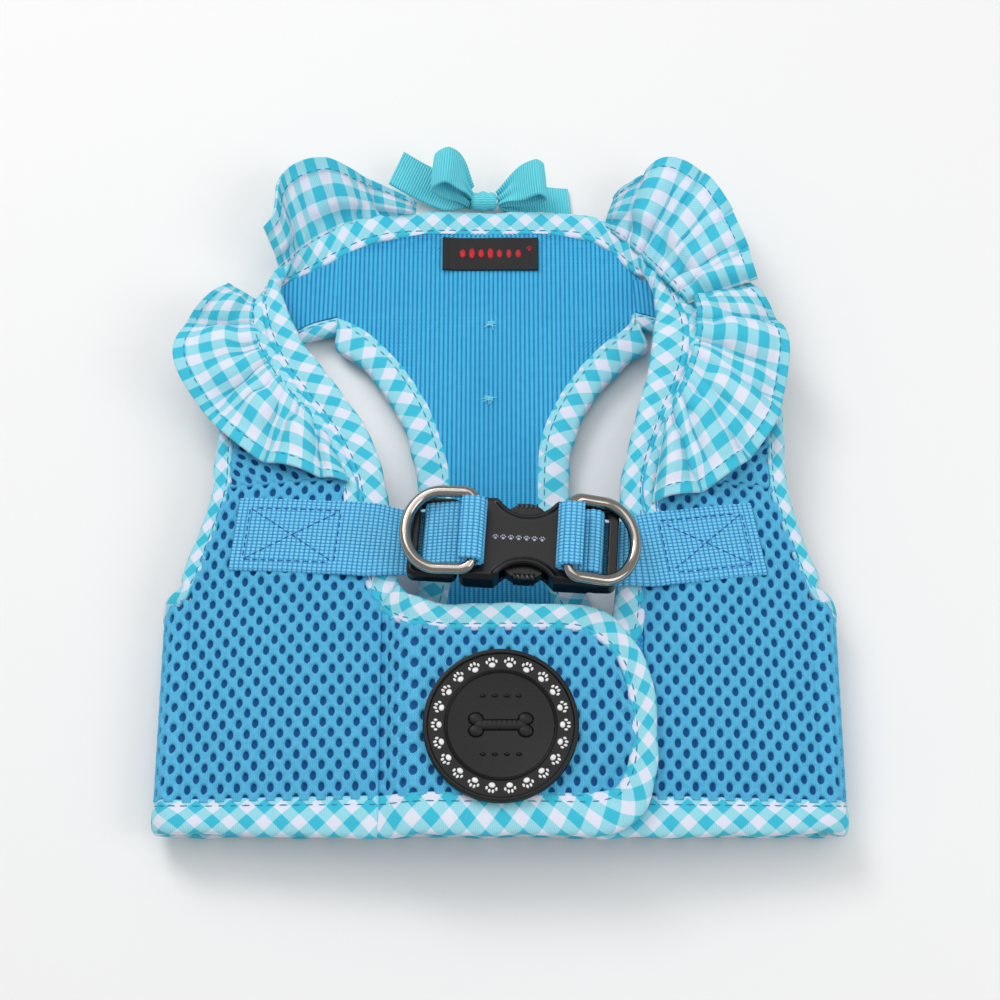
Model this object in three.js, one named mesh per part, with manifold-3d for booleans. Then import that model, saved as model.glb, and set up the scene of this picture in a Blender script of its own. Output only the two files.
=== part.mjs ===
// Soft vest harness for a small dog, closed and lying on its chest, in millimetres.
// X runs across the vest, +Y towards the neck and +Z up through the back. The back's fabric lies
// over the chest's, and the body between them is hollow. The flap closes the back to the right.
import * as THREE from "three";
import { mergeVertices } from "three/addons/utils/BufferGeometryUtils.js";
import Module from "manifold-3d";

const wasm = await Module();
wasm.setup();

// Clearances
const gap = 0.3; // between pieces that touch
const sewnGap = 0.35; // between a raised binding and the fabric under it

// Fabrics
const meshThickness = 2.4;
const liningThickness = 0.6;
const bindingThickness = 4;
const ruffleThickness = 1.2;
const ribbonThickness = 0.8;
const hookThickness = 1.2;
const loopThickness = 1.6;
const fabric = meshThickness + gap + liningThickness;

// Body of the vest
const bodyHalf = 88; // half width over the rolled sides
const foldHeight = 15; // height of a rolled side
const hemBack = -93; // hem of the back at the middle
const hemRise = 2.5; // how much further up the hem lies at the sides
const hemFront = -88.5; // hem of the belly
const hemWidth = 11;
const waistY = -38; // top of the closing flap
const shoulderY = 60; // where the back has come down again towards the shoulders
const crownHem = 16.5;
const crownWaist = 21.5;
const crownRise = 1;
const chestLift = 2.3; // the chest stands on its two buttons
const seamX = -30.2; // seam that the flap peels back along
const flapFlat = 1.4; // the flap lies level with the wing this far past its seam
const flapRight = 39.6;
const flapHemRight = 35; // where the flap's hem ends, below its rounded corner
const flapCorner = 12;
const wingInner = 36.6; // seam of the right wing with its underlap
const underlapLeft = -17;
const armholeWidth = 5;
const chestBandWidth = 9; // the armhole's band is wider along the chest
const bandWidth = 7; // band along the flap's free edge

// Webbing and hardware
const strapWidth = 20;
const strapThickness = 1.4;
const loopWidth = 17.6;
const wire = 3;
const ringDepth = 21.5;
const buckleLength = 53.6;
const socketWidth = 22.6;
const plugWidth = 22;
const socketThickness = 8.4;
const plugThickness = 5.2;
const slotWidth = 3.8;
const endBar = 2.5;
const buckleAt = [3.4, -18.5];
const buckleTurn = -3.6;
const buckleSplit = -13.5; // where the plug's body meets the socket
const windowX = 3.2; // middle of the press pads
const scallopRadius = 8.8;
const scallopDepth = 2.6; // how far a scallop cuts into the socket's cavity
const socketWall = 2;
const armHeight = 4.4;
const armClearance = 0.5;
const armMouth = 18.5; // how deep the socket's cavity runs
const ringCorner = 3;
const ringBar = { left: -10.2, right: 14.3 }; // where the D-rings' bars lie along the buckle
const strapEnd = { left: [-69.4, -11.4], right: [67.6, -12.9] }; // sewn ends of the straps
const strapLevel = 26; // inside this the straps are level, out to the buckle

// Trim
const patchRadius = 19.5;
const patchThickness = 2.6;
const patchAt = [0.2, -66.3];
const labelSize = [26.9, 9.6];
const labelAt = [-2.7, 79.2];
const labelThickness = 0.8;
const buttonRadius = 4;
const buttonHeight = 2;
const ribbonWidth = 9.5;

const sideX = bodyHalf - foldHeight / 2;
const sideZ = foldHeight - fabric / 2;
const flapLeft = seamX + gap;
const flapLift = (fabric + bindingThickness) / 2 + sewnGap;
const foldRadius = (foldHeight - fabric) / 2;
const foldGap = (bindingThickness + fabric) / 2 + 2 * gap; // the neck's band turns over beside the fold
const armholeGap = (fabric + gap) / 2;
const rad = THREE.MathUtils.degToRad;
const smooth = THREE.MathUtils.smoothstep;
const lerp = THREE.MathUtils.lerp;

// Height of the middle of the back's fabric
function crown(y) {
  if (y < waistY) {
    return crownWaist + ((crownWaist - crownHem) * (y - waistY)) / (waistY - hemBack);
  }
  return crownWaist + crownRise * Math.sin((Math.PI * (y - waistY)) / (shoulderY - waistY));
}

function backHeight(x, y) {
  const share = Math.min(1, Math.abs(x) / sideX);
  return sideZ + (crown(y) - sideZ) * (1 - share ** 3) ** 1.5;
}

function flapHeight(x, y) {
  return backHeight(x, y) + flapLift * smooth(x, flapLeft + flapFlat, patchAt[0] - patchRadius - 1);
}

function chestHeight(y) {
  return fabric / 2 + chestLift * smooth(y, -25, 25);
}

const point = (x, y, z) => new THREE.Vector3(x, y, z ?? backHeight(x, y));
const onBack = (list, lift = 0) =>
  list.map(([x, y, z]) => point(x, y, (z ?? backHeight(x, y)) + lift));
const onChest = (list) => list.map(([x, y, z]) => point(x, y, z ?? chestHeight(y)));
const smoothLine = (points, steps) => {
  const curve = new THREE.CatmullRomCurve3(points);
  return Array.from({ length: steps + 1 }, (_, i) => curve.getPoint(i / steps));
};

// A closed solid of a given thickness about a grid of points
function sheet(grid, thickness) {
  const last = [grid.length - 1, grid[0].length - 1];
  const at = (i, j) => i * (last[1] + 1) + j;
  const half = grid.length * grid[0].length;
  const top = [];
  const bottom = [];
  const along = new THREE.Vector3();
  const across = new THREE.Vector3();
  grid.forEach((row, i) =>
    row.forEach((p, j) => {
      along.subVectors(grid[Math.min(i + 1, last[0])][j], grid[Math.max(i - 1, 0)][j]);
      across.subVectors(row[Math.min(j + 1, last[1])], row[Math.max(j - 1, 0)]);
      const normal = along.clone().cross(across).setLength(thickness / 2);
      top.push(...p.clone().add(normal).toArray());
      bottom.push(...p.clone().sub(normal).toArray());
    }),
  );
  const faces = [];
  const quad = (a, b, c, d) => faces.push(a, b, c, a, c, d);
  for (let i = 0; i < last[0]; i++) {
    for (let j = 0; j < last[1]; j++) {
      quad(at(i, j), at(i + 1, j), at(i + 1, j + 1), at(i, j + 1));
      quad(half + at(i, j), half + at(i, j + 1), half + at(i + 1, j + 1), half + at(i + 1, j));
    }
  }
  const rim = [];
  for (let i = 0; i < last[0]; i++) rim.push(at(i, 0));
  for (let j = 0; j < last[1]; j++) rim.push(at(last[0], j));
  for (let i = last[0]; i > 0; i--) rim.push(at(i, last[1]));
  for (let j = last[1]; j > 0; j--) rim.push(at(0, j));
  rim.forEach((a, i) => {
    const b = rim[(i + 1) % rim.length];
    quad(half + a, half + b, b, a);
  });
  return new THREE.BufferGeometry()
    .setAttribute("position", new THREE.Float32BufferAttribute([...top, ...bottom], 3))
    .setIndex(faces);
}

// Rows between two edges that have matching points; shape may move each point
function between(edgeA, edgeB, rows, columns, shape = (p) => p) {
  const a = smoothLine(edgeA, rows);
  const b = smoothLine(edgeB, rows);
  return a.map((start, i) =>
    Array.from({ length: columns + 1 }, (_, j) => {
      const p = start.clone().lerp(b[i], j / columns);
      return shape(p, i / rows, j / columns);
    }),
  );
}

// Both edges are pulled in by a clearance, so that a band lies clear of the fabric beside it
function shrink(edgeA, edgeB, byA, byB) {
  const moved = (p, q, by) => p.clone().add(q.clone().sub(p).setLength(by));
  return [
    edgeA.map((p, i) => moved(p, edgeB[i], byA)),
    edgeB.map((p, i) => moved(p, edgeA[i], byB)),
  ];
}

const vest = new THREE.Group();
const finishes = {
  mesh: { color: 0x3fb0e0, roughness: 0.9, metalness: 0 },
  lining: { color: 0x2f9fd0, roughness: 0.9, metalness: 0 },
  gingham: { color: 0x9fe0ee, roughness: 0.85, metalness: 0 },
  webbing: { color: 0x3aa8e8, roughness: 0.8, metalness: 0 },
  ribbon: { color: 0x5fd8e6, roughness: 0.6, metalness: 0 },
  plastic: { color: 0x121316, roughness: 0.4, metalness: 0 },
  rubber: { color: 0x101112, roughness: 0.6, metalness: 0 },
  steel: { color: 0xd8d8d8, roughness: 0.2, metalness: 1 },
  label: { color: 0x141414, roughness: 0.8, metalness: 0 },
  fastener: { color: 0x2c8fd0, roughness: 0.95, metalness: 0 },
};

function add(name, geometry, finish, parent = vest) {
  const mesh = new THREE.Mesh(geometry, new THREE.MeshStandardMaterial(finishes[finish]));
  mesh.name = name;
  parent.add(mesh);
  return mesh;
}

// Chest, with its lining on the inside; each row is y, left edge and right edge
const chestRows = [
  [-39.2, -42, 42],
  [-37.4, -27, 28],
  [-31, -16.6, 17.5],
  [-22, -13.2, 13],
  [-5, -12.7, 10.4],
  [11, -13.4, 9.9],
  [22, -15.9, 11],
  [33, -20, 15],
  [44, -26.6, 22],
  [52, -33.6, 29.5],
  [57, -40, 35.4],
  [60, -44.6, 36.6],
  [70, -44.6, 36.6],
  [77.5, -44.4, 32.6],
  [80.5, -40, 29],
  [83, -33, 25],
  [84.4, -20, 13],
];

const chestSteps = 26;
function chestSheet(offset, thickness) {
  const onEdge = (k) => chestRows.map((row) => point(row[k], row[0], chestHeight(row[0])));
  const line = (k) => smoothLine(onEdge(k), chestSteps);
  const right = line(2);
  const grid = line(1).map((start, i) =>
    Array.from({ length: 6 }, (_, j) => start.clone().lerp(right[i], j / 5).add(point(0, 0, offset))),
  );
  return sheet(grid, thickness);
}

const outside = (fabric - meshThickness) / 2;
const inside = (fabric - liningThickness) / 2;
add("chest_panel", chestSheet(-outside, meshThickness), "mesh");
add("chest_lining", chestSheet(inside, liningThickness), "lining");

// Belly, from side to side
const bellyTop = -39.5 - gap;
const bellyHem = hemFront + hemWidth;
function bellySheet(offset, thickness) {
  const grid = [bellyHem + gap, -60, bellyTop].map((y) =>
    [-1, 0, 1].map((s) => point(s * (sideX - gap), y, chestHeight(y) + offset)),
  );
  return sheet(grid, thickness);
}
add("belly_panel", bellySheet(-outside, meshThickness), "mesh");
add("belly_lining", bellySheet(inside, liningThickness), "lining");

// Edges of the left and right half: seam is the binding's fabric side, edge its free side
const halves = {
  left: {
    side: -1,
    corner: [-45.2, 78, 4],
    seam: [
      [-43.7, 78.9, 4],
      [-54, 71.8, 5.5],
      [-60.6, 67.4, 8.6],
      [-64.4, 62.6, 12.4],
      [-65.4, 56.5, 15.8],
      [-63.6, 48],
      [-59.8, 38.5],
      [-53.1, 28.1],
      [-46.7, 19.1],
      [-41.6, 10.4],
      [-38.2, 1.6],
      [-37.2, -10],
      [-36.2, -20],
      [-34.6, -27.5],
      [-30.8, -34],
    ],
    edge: [
      [-44, 90, 4],
      [-53, 83.5, 5.5],
      [-59.2, 76, 9],
      [-61, 67.5, 13],
      [-59, 58, 16.2],
      [-55, 48],
      [-50, 39.5],
      [-44.2, 31.2],
      [-37.2, 20.7],
      [-32, 9],
      [-29.6, 0],
      [-28.8, -11],
      [-27.8, -20],
      [-26.8, -24.5],
      [-25.8, -27.6],
    ],
    armhole: [
      [-45.2, 59.6, 4],
      [-53, 57, 4.6],
      [-61, 51.5, 6.2],
      [-66.5, 45.5, 10],
      [-70, 39.5, 13.4],
      [-71.2, 33],
      [-71.3, 27],
      [-71, 20.6],
      [-71, 14.6],
      [-71, 8.6],
      [-71.2, 2.6],
    ],
  },
  right: {
    side: 1,
    corner: [37.8, 71.2, 4.2],
    seam: [
      [30.6, 80.6, 4],
      [37.4, 72.8, 5.6],
      [43.6, 69.2, 8.8],
      [48.2, 62, 13],
      [51.4, 52.5, 16.6],
      [51.8, 44.5],
      [49.6, 34.5],
      [45.6, 25],
      [42, 15.5],
      [39.4, 7.5],
      [38.2, 1.6],
      [38.4, -10],
      [38.2, -20],
      [37.4, -30],
      [37, -37],
    ],
    edge: [
      [30, 90, 4],
      [39.4, 81, 6],
      [41.6, 70.5, 10.4],
      [42.4, 60, 14.4],
      [42.2, 51, 17],
      [41, 43.2],
      [39.5, 34.6],
      [37.3, 25.4],
      [34.4, 14.4],
      [32.6, 6.5],
      [31.6, 0],
      [30.8, -11],
      [30.4, -20],
      [29.6, -28],
      [28.8, -34.4],
    ],
    armhole: [
      [37.8, 61, 4.2],
      [45, 58.4, 5],
      [53, 53.2, 7],
      [60, 47, 10.6],
      [65.6, 40.6, 13.4],
      [69.6, 34],
      [71, 27.4],
      [71, 21],
      [71, 14.8],
      [71, 8.6],
      [71.2, 2.6],
    ],
  },
};

const wingBottom = hemBack + hemWidth;

for (const [name, half] of Object.entries(halves)) {
  const side = half.side;
  const seam = onBack(half.seam);
  const edge = onBack(half.edge);

  // Shoulder: runs from the chest's corner round the fold and on to the wing
  const upper = half.armhole.map(([x, y, z]) => point(x, y, z));
  const last = upper.length - 1;
  const inward = seam.slice(0, upper.length);
  inward[0] = point(...half.corner);
  inward[1] = inward[0].clone().lerp(inward[2], 0.5);
  inward[last].y = upper[last].y;
  const [shoulderIn, shoulderOut] = shrink(inward, upper, foldGap, armholeGap);
  const shoulder = between(shoulderIn, shoulderOut, 16, 4, (p, s) => {
    p.z = lerp(p.z, Math.max(p.z, backHeight(p.x, p.y)), smooth(s, 0.5, 0.7));
    return p;
  });
  add(`shoulder_${name}`, sheet(shoulder, fabric), "mesh");

  // Wing of the back, its lining on the inside
  const innerAt = (y) => {
    if (name === "left" && y < half.seam.at(-1)[1]) return seamX - gap;
    if (name === "right" && y < half.seam.at(-1)[1]) return wingInner + gap;
    const points = half.seam.slice(10);
    const next = points.findIndex((p) => p[1] <= y);
    if (next <= 0) return points[0][0] + side * gap;
    const share = (points[next - 1][1] - y) / (points[next - 1][1] - points[next][1]);
    return lerp(points[next - 1][0], points[next][0], share) + side * gap;
  };
  const outerAt = (y) => side * Math.min(sideX, lerp(70.9, sideX, (2 - y) / 31));
  const wing = (offset, thickness) => {
    const rows = [wingBottom + gap, -70, -58, -46, -37.4, -34.2, -30, -24, -16, -8, 1.9];
    const grid = rows.map((y) => {
      const across = [innerAt(y), outerAt(y)].sort((a, b) => a - b);
      const spread = Array.from({ length: 7 }, (_, j) => lerp(across[0], across[1], j / 6));
      return spread.map((x) => point(x, y, backHeight(x, y) + offset));
    });
    return sheet(grid, thickness);
  };
  add(`wing_${name}`, wing(outside, meshThickness), "mesh");
  add(`wing_lining_${name}`, wing(-inside, liningThickness), "lining");

  // Rolled side, from the belly up to the wing
  const turn = (angle, y) =>
    point(side * (sideX + foldRadius * Math.cos(angle)), y, foldHeight / 2 + foldRadius * Math.sin(angle));
  const sideEnds = (angle) => [
    lerp(bellyHem, wingBottom, 0.5 + Math.sin(angle) / 2) + gap,
    lerp(bellyTop, -29.4, 0.5 + Math.sin(angle) / 2) - gap,
  ];
  const angles = Array.from({ length: 9 }, (_, i) => rad(-86 + (172 * i) / 8));
  const sideGrid = angles.map((a) => {
    const [low, high] = sideEnds(a);
    return [0, 0.5, 1].map((t) => turn(a, lerp(low, high, t)));
  });
  add(`side_${name}`, sheet(sideGrid, fabric), "mesh");

  // Hem binding on the wing, round the side and, below, along the belly
  const hemSide = angles.map((a) => {
    const low = lerp(hemFront, hemBack + hemRise, 0.5 + Math.sin(a) / 2);
    return [0, 0.5, 1].map((t) => turn(a, lerp(low, sideEnds(a)[0] - 2 * gap, t)));
  });
  add(`hem_side_${name}`, sheet(hemSide, bindingThickness), "gingham");
  const hemInner = name === "left" ? seamX - gap : wingInner;
  const hemGrid = Array.from({ length: 9 }, (_, i) => {
    const x = lerp(hemInner, side * (sideX - gap), i / 8);
    const low = hemBack + hemRise * (x / sideX) ** 2;
    return [low, wingBottom - gap].map((y) => point(x, y));
  });
  add(`hem_back_${name}`, sheet(hemGrid, bindingThickness), "gingham");

  // Neck binding over the shoulder and down the wing
  const [bandSeam, bandEdge] = shrink(seam, edge, gap, 0);
  const neckBand = between(bandSeam, bandEdge, 26, 2);
  add(`neck_binding_${name}`, sheet(neckBand, bindingThickness), "gingham");

  // Armhole binding on the shoulder, and then on the wing and round the side
  const outward = (p, by) => point(p.x + side * by, p.y - by * 0.15, p.z - by * 0.25);
  const shoulderEdge = upper.slice(2);
  const shoulderFree = shoulderEdge.map((p, i) => {
    const away = p.clone().sub(inward[i + 2]).setLength(armholeWidth);
    return p.clone().add(away);
  });
  add(
    `armhole_shoulder_${name}`,
    sheet(between(shoulderEdge, shoulderFree, 12, 2), bindingThickness),
    "gingham",
  );
  const beside = side * 2 * gap;
  const wingEdge = [1.9, -6, -15, -23.4].map((y) =>
    point(outerAt(y) + beside, y, backHeight(outerAt(y), y)),
  );
  const wingFree = wingEdge.map((p) => outward(p, armholeWidth));
  const wingBand = between(wingEdge, wingFree, 8, 2);
  add(`armhole_wing_${name}`, sheet(wingBand, bindingThickness), "gingham");
  const sideBand = angles.map((a) => {
    const low = sideEnds(a)[1] + 2 * gap;
    return [0, 0.5, 1].map((t) => turn(a, low + armholeWidth * t));
  });
  add(`armhole_side_${name}`, sheet(sideBand, bindingThickness), "gingham");

  // Armhole binding along the belly and up the chest
  const chestSide = side < 0 ? 1 : 2;
  const chestEdge = chestRows.slice(1, 11).map((row) => point(row[chestSide], row[0], 0));
  const lowEdge = [
    point(side * (sideX - gap), bellyTop + 2 * gap, 0),
    point(side * 60, bellyTop + 2 * gap, 0),
    point(side * 43, bellyTop + 2 * gap, 0),
  ];
  const inner = [...lowEdge, ...chestEdge];
  const free = inner.map((p, i) => {
    const before = inner[Math.max(0, i - 1)];
    const after = inner[Math.min(inner.length - 1, i + 1)];
    const away = point((after.y - before.y) * side, (before.x - after.x) * side, 0);
    return p.clone().add(away.setLength(i < 4 ? armholeWidth : chestBandWidth));
  });
  const seated = (list) =>
    list.map((p) => point(p.x, p.y, chestHeight(p.y) + (bindingThickness - fabric) / 2));
  const [chestSeam, chestFree] = shrink(seated(inner), seated(free), sewnGap, 0);
  const chestBand = between(chestSeam, chestFree, 24, 2);
  add(`armhole_chest_${name}`, sheet(chestBand, bindingThickness), "gingham");
}

// Neck binding along the top of the chest
const topSeam = onChest([
  [-42.9, 79.6],
  [-34, 83.4],
  [-20, 85],
  [-4, 85.1],
  [13, 85],
  [24, 84],
  [29.6, 81.6],
]);
const topEdge = onChest([
  [-43.4, 90.4],
  [-35, 92.6],
  [-20, 93.2],
  [-4, 93.2],
  [13, 93.2],
  [23, 92.6],
  [29.2, 90.4],
]);
add("neck_binding_top", sheet(between(topSeam, topEdge, 20, 2), bindingThickness), "gingham");

// Hem binding along the belly
const bellyHemGrid = [-1, -0.5, 0, 0.5, 1].map((s) =>
  [hemFront, bellyHem - gap].map((y) => point(s * (sideX - gap), y, bindingThickness / 2)),
);
add("hem_belly", sheet(bellyHemGrid, bindingThickness), "gingham");

// Underlap of the right wing, faced with loop tape, and the flap with its hook tape
const hookMid = flapLift - fabric / 2 - gap - hookThickness / 2;
const loopMid = hookMid - hookThickness / 2 - gap - loopThickness / 2;
const flapTop = waistY - 2.8;
const rectangle = (left, right, low, high, height) =>
  Array.from({ length: 9 }, (_, i) => {
    const x = lerp(left, right, i / 8);
    return [0, 0.5, 1].map((t) => point(x, lerp(low, high, t), height(x, lerp(low, high, t))));
  });
const loopHeight = (x, y) => backHeight(x, y) + loopMid;
const hookHeight = (x, y) => backHeight(x, y) + hookMid;
const loops = rectangle(underlapLeft, wingInner, wingBottom + 2 * gap, flapTop, loopHeight);
add("loop_panel", sheet(loops, loopThickness), "fastener");
const hooks = rectangle(underlapLeft + 1, flapRight - 12, wingBottom + 4, flapTop - 5, hookHeight);
add("hook_patch", sheet(hooks, hookThickness), "fastener");

const flapEdge = [
  [-27.6, -36],
  [-22, -40],
  [-14, -41.2],
  [0, -41.2],
  [12, -41.2],
  [22, -42.2],
  [29, -48],
  [32, -57],
  [flapRight - bandWidth, -67],
  [31.4, -77],
  [28.6, wingBottom - 0.5],
];
const flapFree = [
  [-25, -28.2],
  [-20.5, -32.1],
  [-14, -33.9],
  [0, -33.9],
  [13, -34],
  [25.6, -35.6],
  [33.8, -43],
  [38.4, -54],
  [flapRight, -65.5],
  [38.8, -78],
  [35.4, wingBottom - 0.5],
];
const onFlap = (list) => list.map(([x, y]) => point(x, y, flapHeight(x, y)));
const [flapSeam, flapRim] = shrink(onFlap(flapEdge), onFlap(flapFree), gap, 0);
const flapBand = between(flapSeam, flapRim, 26, 2, (p) => point(p.x, p.y, flapHeight(p.x, p.y)));
add("flap_binding", sheet(flapBand, bindingThickness), "gingham");

const flapRows = [wingBottom + gap, -74, -66, -58, -50, -44, -42, flapTop - 0.6];
const flapRightAt = (y) => {
  const next = flapEdge.findIndex((p, i) => i > 4 && p[1] <= y);
  if (next < 6) return flapEdge[5][0] - 4;
  const [a, b] = [flapEdge[next - 1], flapEdge[next]];
  return lerp(a[0], b[0], (a[1] - y) / (a[1] - b[1])) - gap - 0.3;
};
const flapShares = [0, 0.02, 0.06, 0.12, 0.18, 0.4, 0.6, 0.8, 1];
const flapGrid = flapRows.map((y) => {
  const left = flapLeft + (y > -43 ? 8.6 : 0);
  return flapShares.map((share) => {
    const x = lerp(left, flapRightAt(y), share);
    return point(x, y, flapHeight(x, y));
  });
});
add("flap_panel", sheet(flapGrid, fabric), "mesh");

const flapHemGrid = [...flapShares.slice(0, 7), 0.72, 0.8, 0.88, 0.95, 1].map((share) => {
  const x = lerp(flapLeft, flapHemRight, share);
  const corner = Math.max(0, x - (flapHemRight - flapCorner)) / flapCorner;
  const low = hemBack + 5 * (1 - Math.sqrt(1 - (corner * 0.95) ** 2));
  return [low, wingBottom - 0.5 - gap].map((y) => point(x, y, flapHeight(x, y)));
});
add("flap_hem", sheet(flapHemGrid, bindingThickness), "gingham");

// Rubber patch, tilted as the flap lies, with a raised rim
const patchProfile = [
  [0, 0],
  [patchRadius, 0],
  [patchRadius, patchThickness - 0.4],
  [patchRadius - 0.5, patchThickness],
  [patchRadius - 1.6, patchThickness],
  [patchRadius - 2, patchThickness - 0.7],
  [0, patchThickness - 0.7],
].map(([r, z]) => new THREE.Vector2(r, z));
const patch = add("rubber_patch", new THREE.LatheGeometry(patchProfile, 40), "rubber");
const flapSlope = Math.atan((crownWaist - crownHem) / (waistY - hemBack));
patch.rotation.x = Math.PI / 2 + flapSlope;
patch.position.set(...patchAt, flapHeight(...patchAt) + fabric / 2 + gap + 0.1);

// Woven label inside the neck, and the two buttons under the chest
const label = add("woven_label", new THREE.BoxGeometry(...labelSize, labelThickness), "label");
label.position.set(...labelAt, chestHeight(labelAt[1]) + (fabric + labelThickness) / 2 + gap);
const buttonProfile = [
  [0, 0],
  [buttonRadius - 0.6, 0],
  [buttonRadius, 0.6],
  [buttonRadius, buttonHeight - 0.6],
  [buttonRadius - 0.6, buttonHeight],
  [0, buttonHeight],
].map(([r, z]) => new THREE.Vector2(r, z));
for (const [name, y] of [["upper", 56.9], ["lower", 33.7]]) {
  const button = add(`button_${name}`, new THREE.LatheGeometry(buttonProfile, 20), "ribbon");
  button.rotation.x = Math.PI / 2;
  button.position.set(-2.5, y, 0);
}

// Ruffles: gathered at the binding and free at the hem, with waves that lift off the shoulder
const clearOf = (bindingThickness + ruffleThickness) / 2 + gap;
const ruffles = {
  ruffle_back_left: {
    seam: [
      [-66.4, 57.6],
      [-65, 49],
      [-60.8, 38.9],
      [-54.2, 28.5],
      [-47.8, 19.5],
      [-42.6, 10.8],
      [-39.6, 2.6],
    ],
    hem: [
      [-71.6, 61.4],
      [-83.8, 52.8],
      [-88.2, 40.5],
      [-79.5, 24.5],
      [-66.1, 10.6],
      [-53, 4.6],
      [-41.5, 1.6],
    ],
    lift: clearOf,
    waves: 5,
  },
  ruffle_front_left: {
    seam: [
      [-60.2, 76.8, 8.8],
      [-53.7, 84.3, 5.2],
      [-44.3, 91, 4],
      [-35, 93.4, 4],
      [-24, 93.8, 4],
    ],
    hem: [
      [-62.8, 86.6, 15.6],
      [-59, 101, 15.6],
      [-50, 105, 14.6],
      [-38, 101, 10.6],
      [-24, 95.8, 5],
    ],
    lift: 0,
    waves: 2,
  },
  ruffle_back_right: {
    seam: [
      [52.5, 56.6],
      [52.9, 46.5],
      [50.4, 34.8],
      [46.4, 25.4],
      [42.9, 15.8],
      [40.3, 7.8],
      [39.4, 1.8],
    ],
    hem: [
      [66.5, 58.6],
      [76, 48.5],
      [77.3, 36.6],
      [73.6, 21],
      [64.2, 7.6],
      [52, -1.6],
      [41.5, -5.4],
    ],
    lift: clearOf,
    waves: 5,
  },
  ruffle_front_right: {
    seam: [
      [30.5, 91.2, 4],
      [40.1, 82, 6],
      [44.8, 73.2, 9],
      [49, 65.8, 12.2],
      [53.4, 58, 16],
    ],
    hem: [
      [32.9, 96.6, 8],
      [48, 103.8, 14.6],
      [59.2, 96, 17.6],
      [67, 78, 19.6],
      [70.4, 63.4, 20.6],
    ],
    lift: 0,
    waves: 3,
  },
};
for (const [name, ruffle] of Object.entries(ruffles)) {
  const seam = onBack(ruffle.seam, ruffle.lift);
  const hem = onBack(ruffle.hem, ruffle.lift);
  const grid = between(seam, hem, 26, 3, (p, s, t) => {
    p.z += t * 1.6 * (1 - Math.cos(2 * Math.PI * ruffle.waves * s));
    return p;
  });
  add(name, sheet(grid, ruffleThickness), "gingham");
}

// Bow outside the neck: two loops and two tails of ribbon, and the knot
const ribbon = (path, lean) => {
  const line = smoothLine(path.map((p) => point(...p)), 16);
  const width = new THREE.Vector3(...lean).setLength(ribbonWidth / 2);
  return sheet(
    line.map((p) => [-1, 0, 1].map((s) => p.clone().addScaledVector(width, s))),
    ribbonThickness,
  );
};
const bow = {
  loop_left: {
    path: [
      [-6.9, 98.4, 5],
      [-11, 100.4, 8],
      [-16.4, 101.4, 13],
      [-12.4, 102, 16.4],
      [-8.6, 101.4, 12.4],
      [-6.9, 99.2, 7],
    ],
    lean: [0.1, 1, 0.3],
  },
  loop_right: {
    path: [
      [2.9, 98.4, 5.4],
      [7, 99.2, 9],
      [13.4, 99.8, 13.4],
      [15.4, 99.8, 10.4],
      [9, 99.4, 6.4],
      [3.1, 98.6, 4],
    ],
    lean: [-0.1, 1, 0.3],
  },
  tail_left: {
    path: [
      [-6.2, 98, 2.4],
      [-14, 100.6, 4],
      [-21, 103, 6.4],
      [-27, 105.6, 8.6],
    ],
    lean: [0.5, 1, 0.35],
  },
  tail_right: {
    path: [
      [3.2, 99, 1.2],
      [10, 98.8, 1],
      [17, 98.6, 0.9],
      [22.6, 98.2, 0.9],
    ],
    lean: [-0.1, 1, 0],
  },
};
for (const [name, piece] of Object.entries(bow)) {
  add(`bow_${name}`, ribbon(piece.path, piece.lean), "ribbon");
}
const knot = add("bow_knot", new THREE.SphereGeometry(1, 16, 10), "ribbon");
knot.scale.set(4.3, 2.9, 2.9);
knot.position.set(-2, 96.4, 4.4);

// Webbing sewn to the wings, out to the buckle
const strapTop = backHeight(strapLevel, buckleAt[1]) + bindingThickness / 2 + gap + strapThickness;
const buckleZ = strapTop + gap + plugThickness / 2;
const strapLift = bindingThickness / 2 + gap + strapThickness / 2;
const buckle = new THREE.Group();
buckle.position.set(...buckleAt, buckleZ);
buckle.rotation.z = rad(buckleTurn);
buckle.updateMatrix();
const end = buckleLength / 2;
const slotIn = end - endBar;
const inBuckle = (x, y, z) => point(x, y, z).applyMatrix4(buckle.matrix);
const underBar = -plugThickness / 2 - gap - strapThickness / 2;
const sides = { left: -1, right: 1 };
for (const [name, side] of Object.entries(sides)) {
  const start = point(...strapEnd[name], 0);
  const finish = inBuckle(side * (slotIn + 1), 0, underBar);
  const aim = finish.clone().sub(start).setZ(0).normalize();
  const square = point(-Math.sin(buckle.rotation.z), Math.cos(buckle.rotation.z), 0);
  const grid = Array.from({ length: 15 }, (_, i) => {
    const middle = start.clone().lerp(finish, i / 14);
    const narrowing = smooth(i / 14, 0.74, 0.96);
    const sideways = point(aim.y * side, -aim.x * side, 0);
    sideways.lerp(square, narrowing).setLength(lerp(strapWidth, loopWidth, narrowing) / 2);
    return [-1, 0, 1].map((s) => {
      const p = middle.clone().addScaledVector(sideways, s);
      const near = Math.max(Math.abs(p.x), strapLevel);
      const free = smooth(i / 14, 0.72, 0.9);
      p.z = lerp(backHeight(near, p.y) + strapLift, finish.z, free);
      return p;
    });
  });
  add(`strap_${name}`, sheet(grid, strapThickness), "webbing");
}

// Booleans on closed solids
function solid(geometry) {
  const bare = geometry.index ? geometry.toNonIndexed() : geometry.clone();
  bare.deleteAttribute("normal");
  bare.deleteAttribute("uv");
  const merged = mergeVertices(bare, 1e-4);
  const mesh = new wasm.Mesh({
    numProp: 3,
    vertProperties: merged.attributes.position.array,
    triVerts: new Uint32Array(merged.index.array),
  });
  return new wasm.Manifold(mesh);
}

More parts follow.
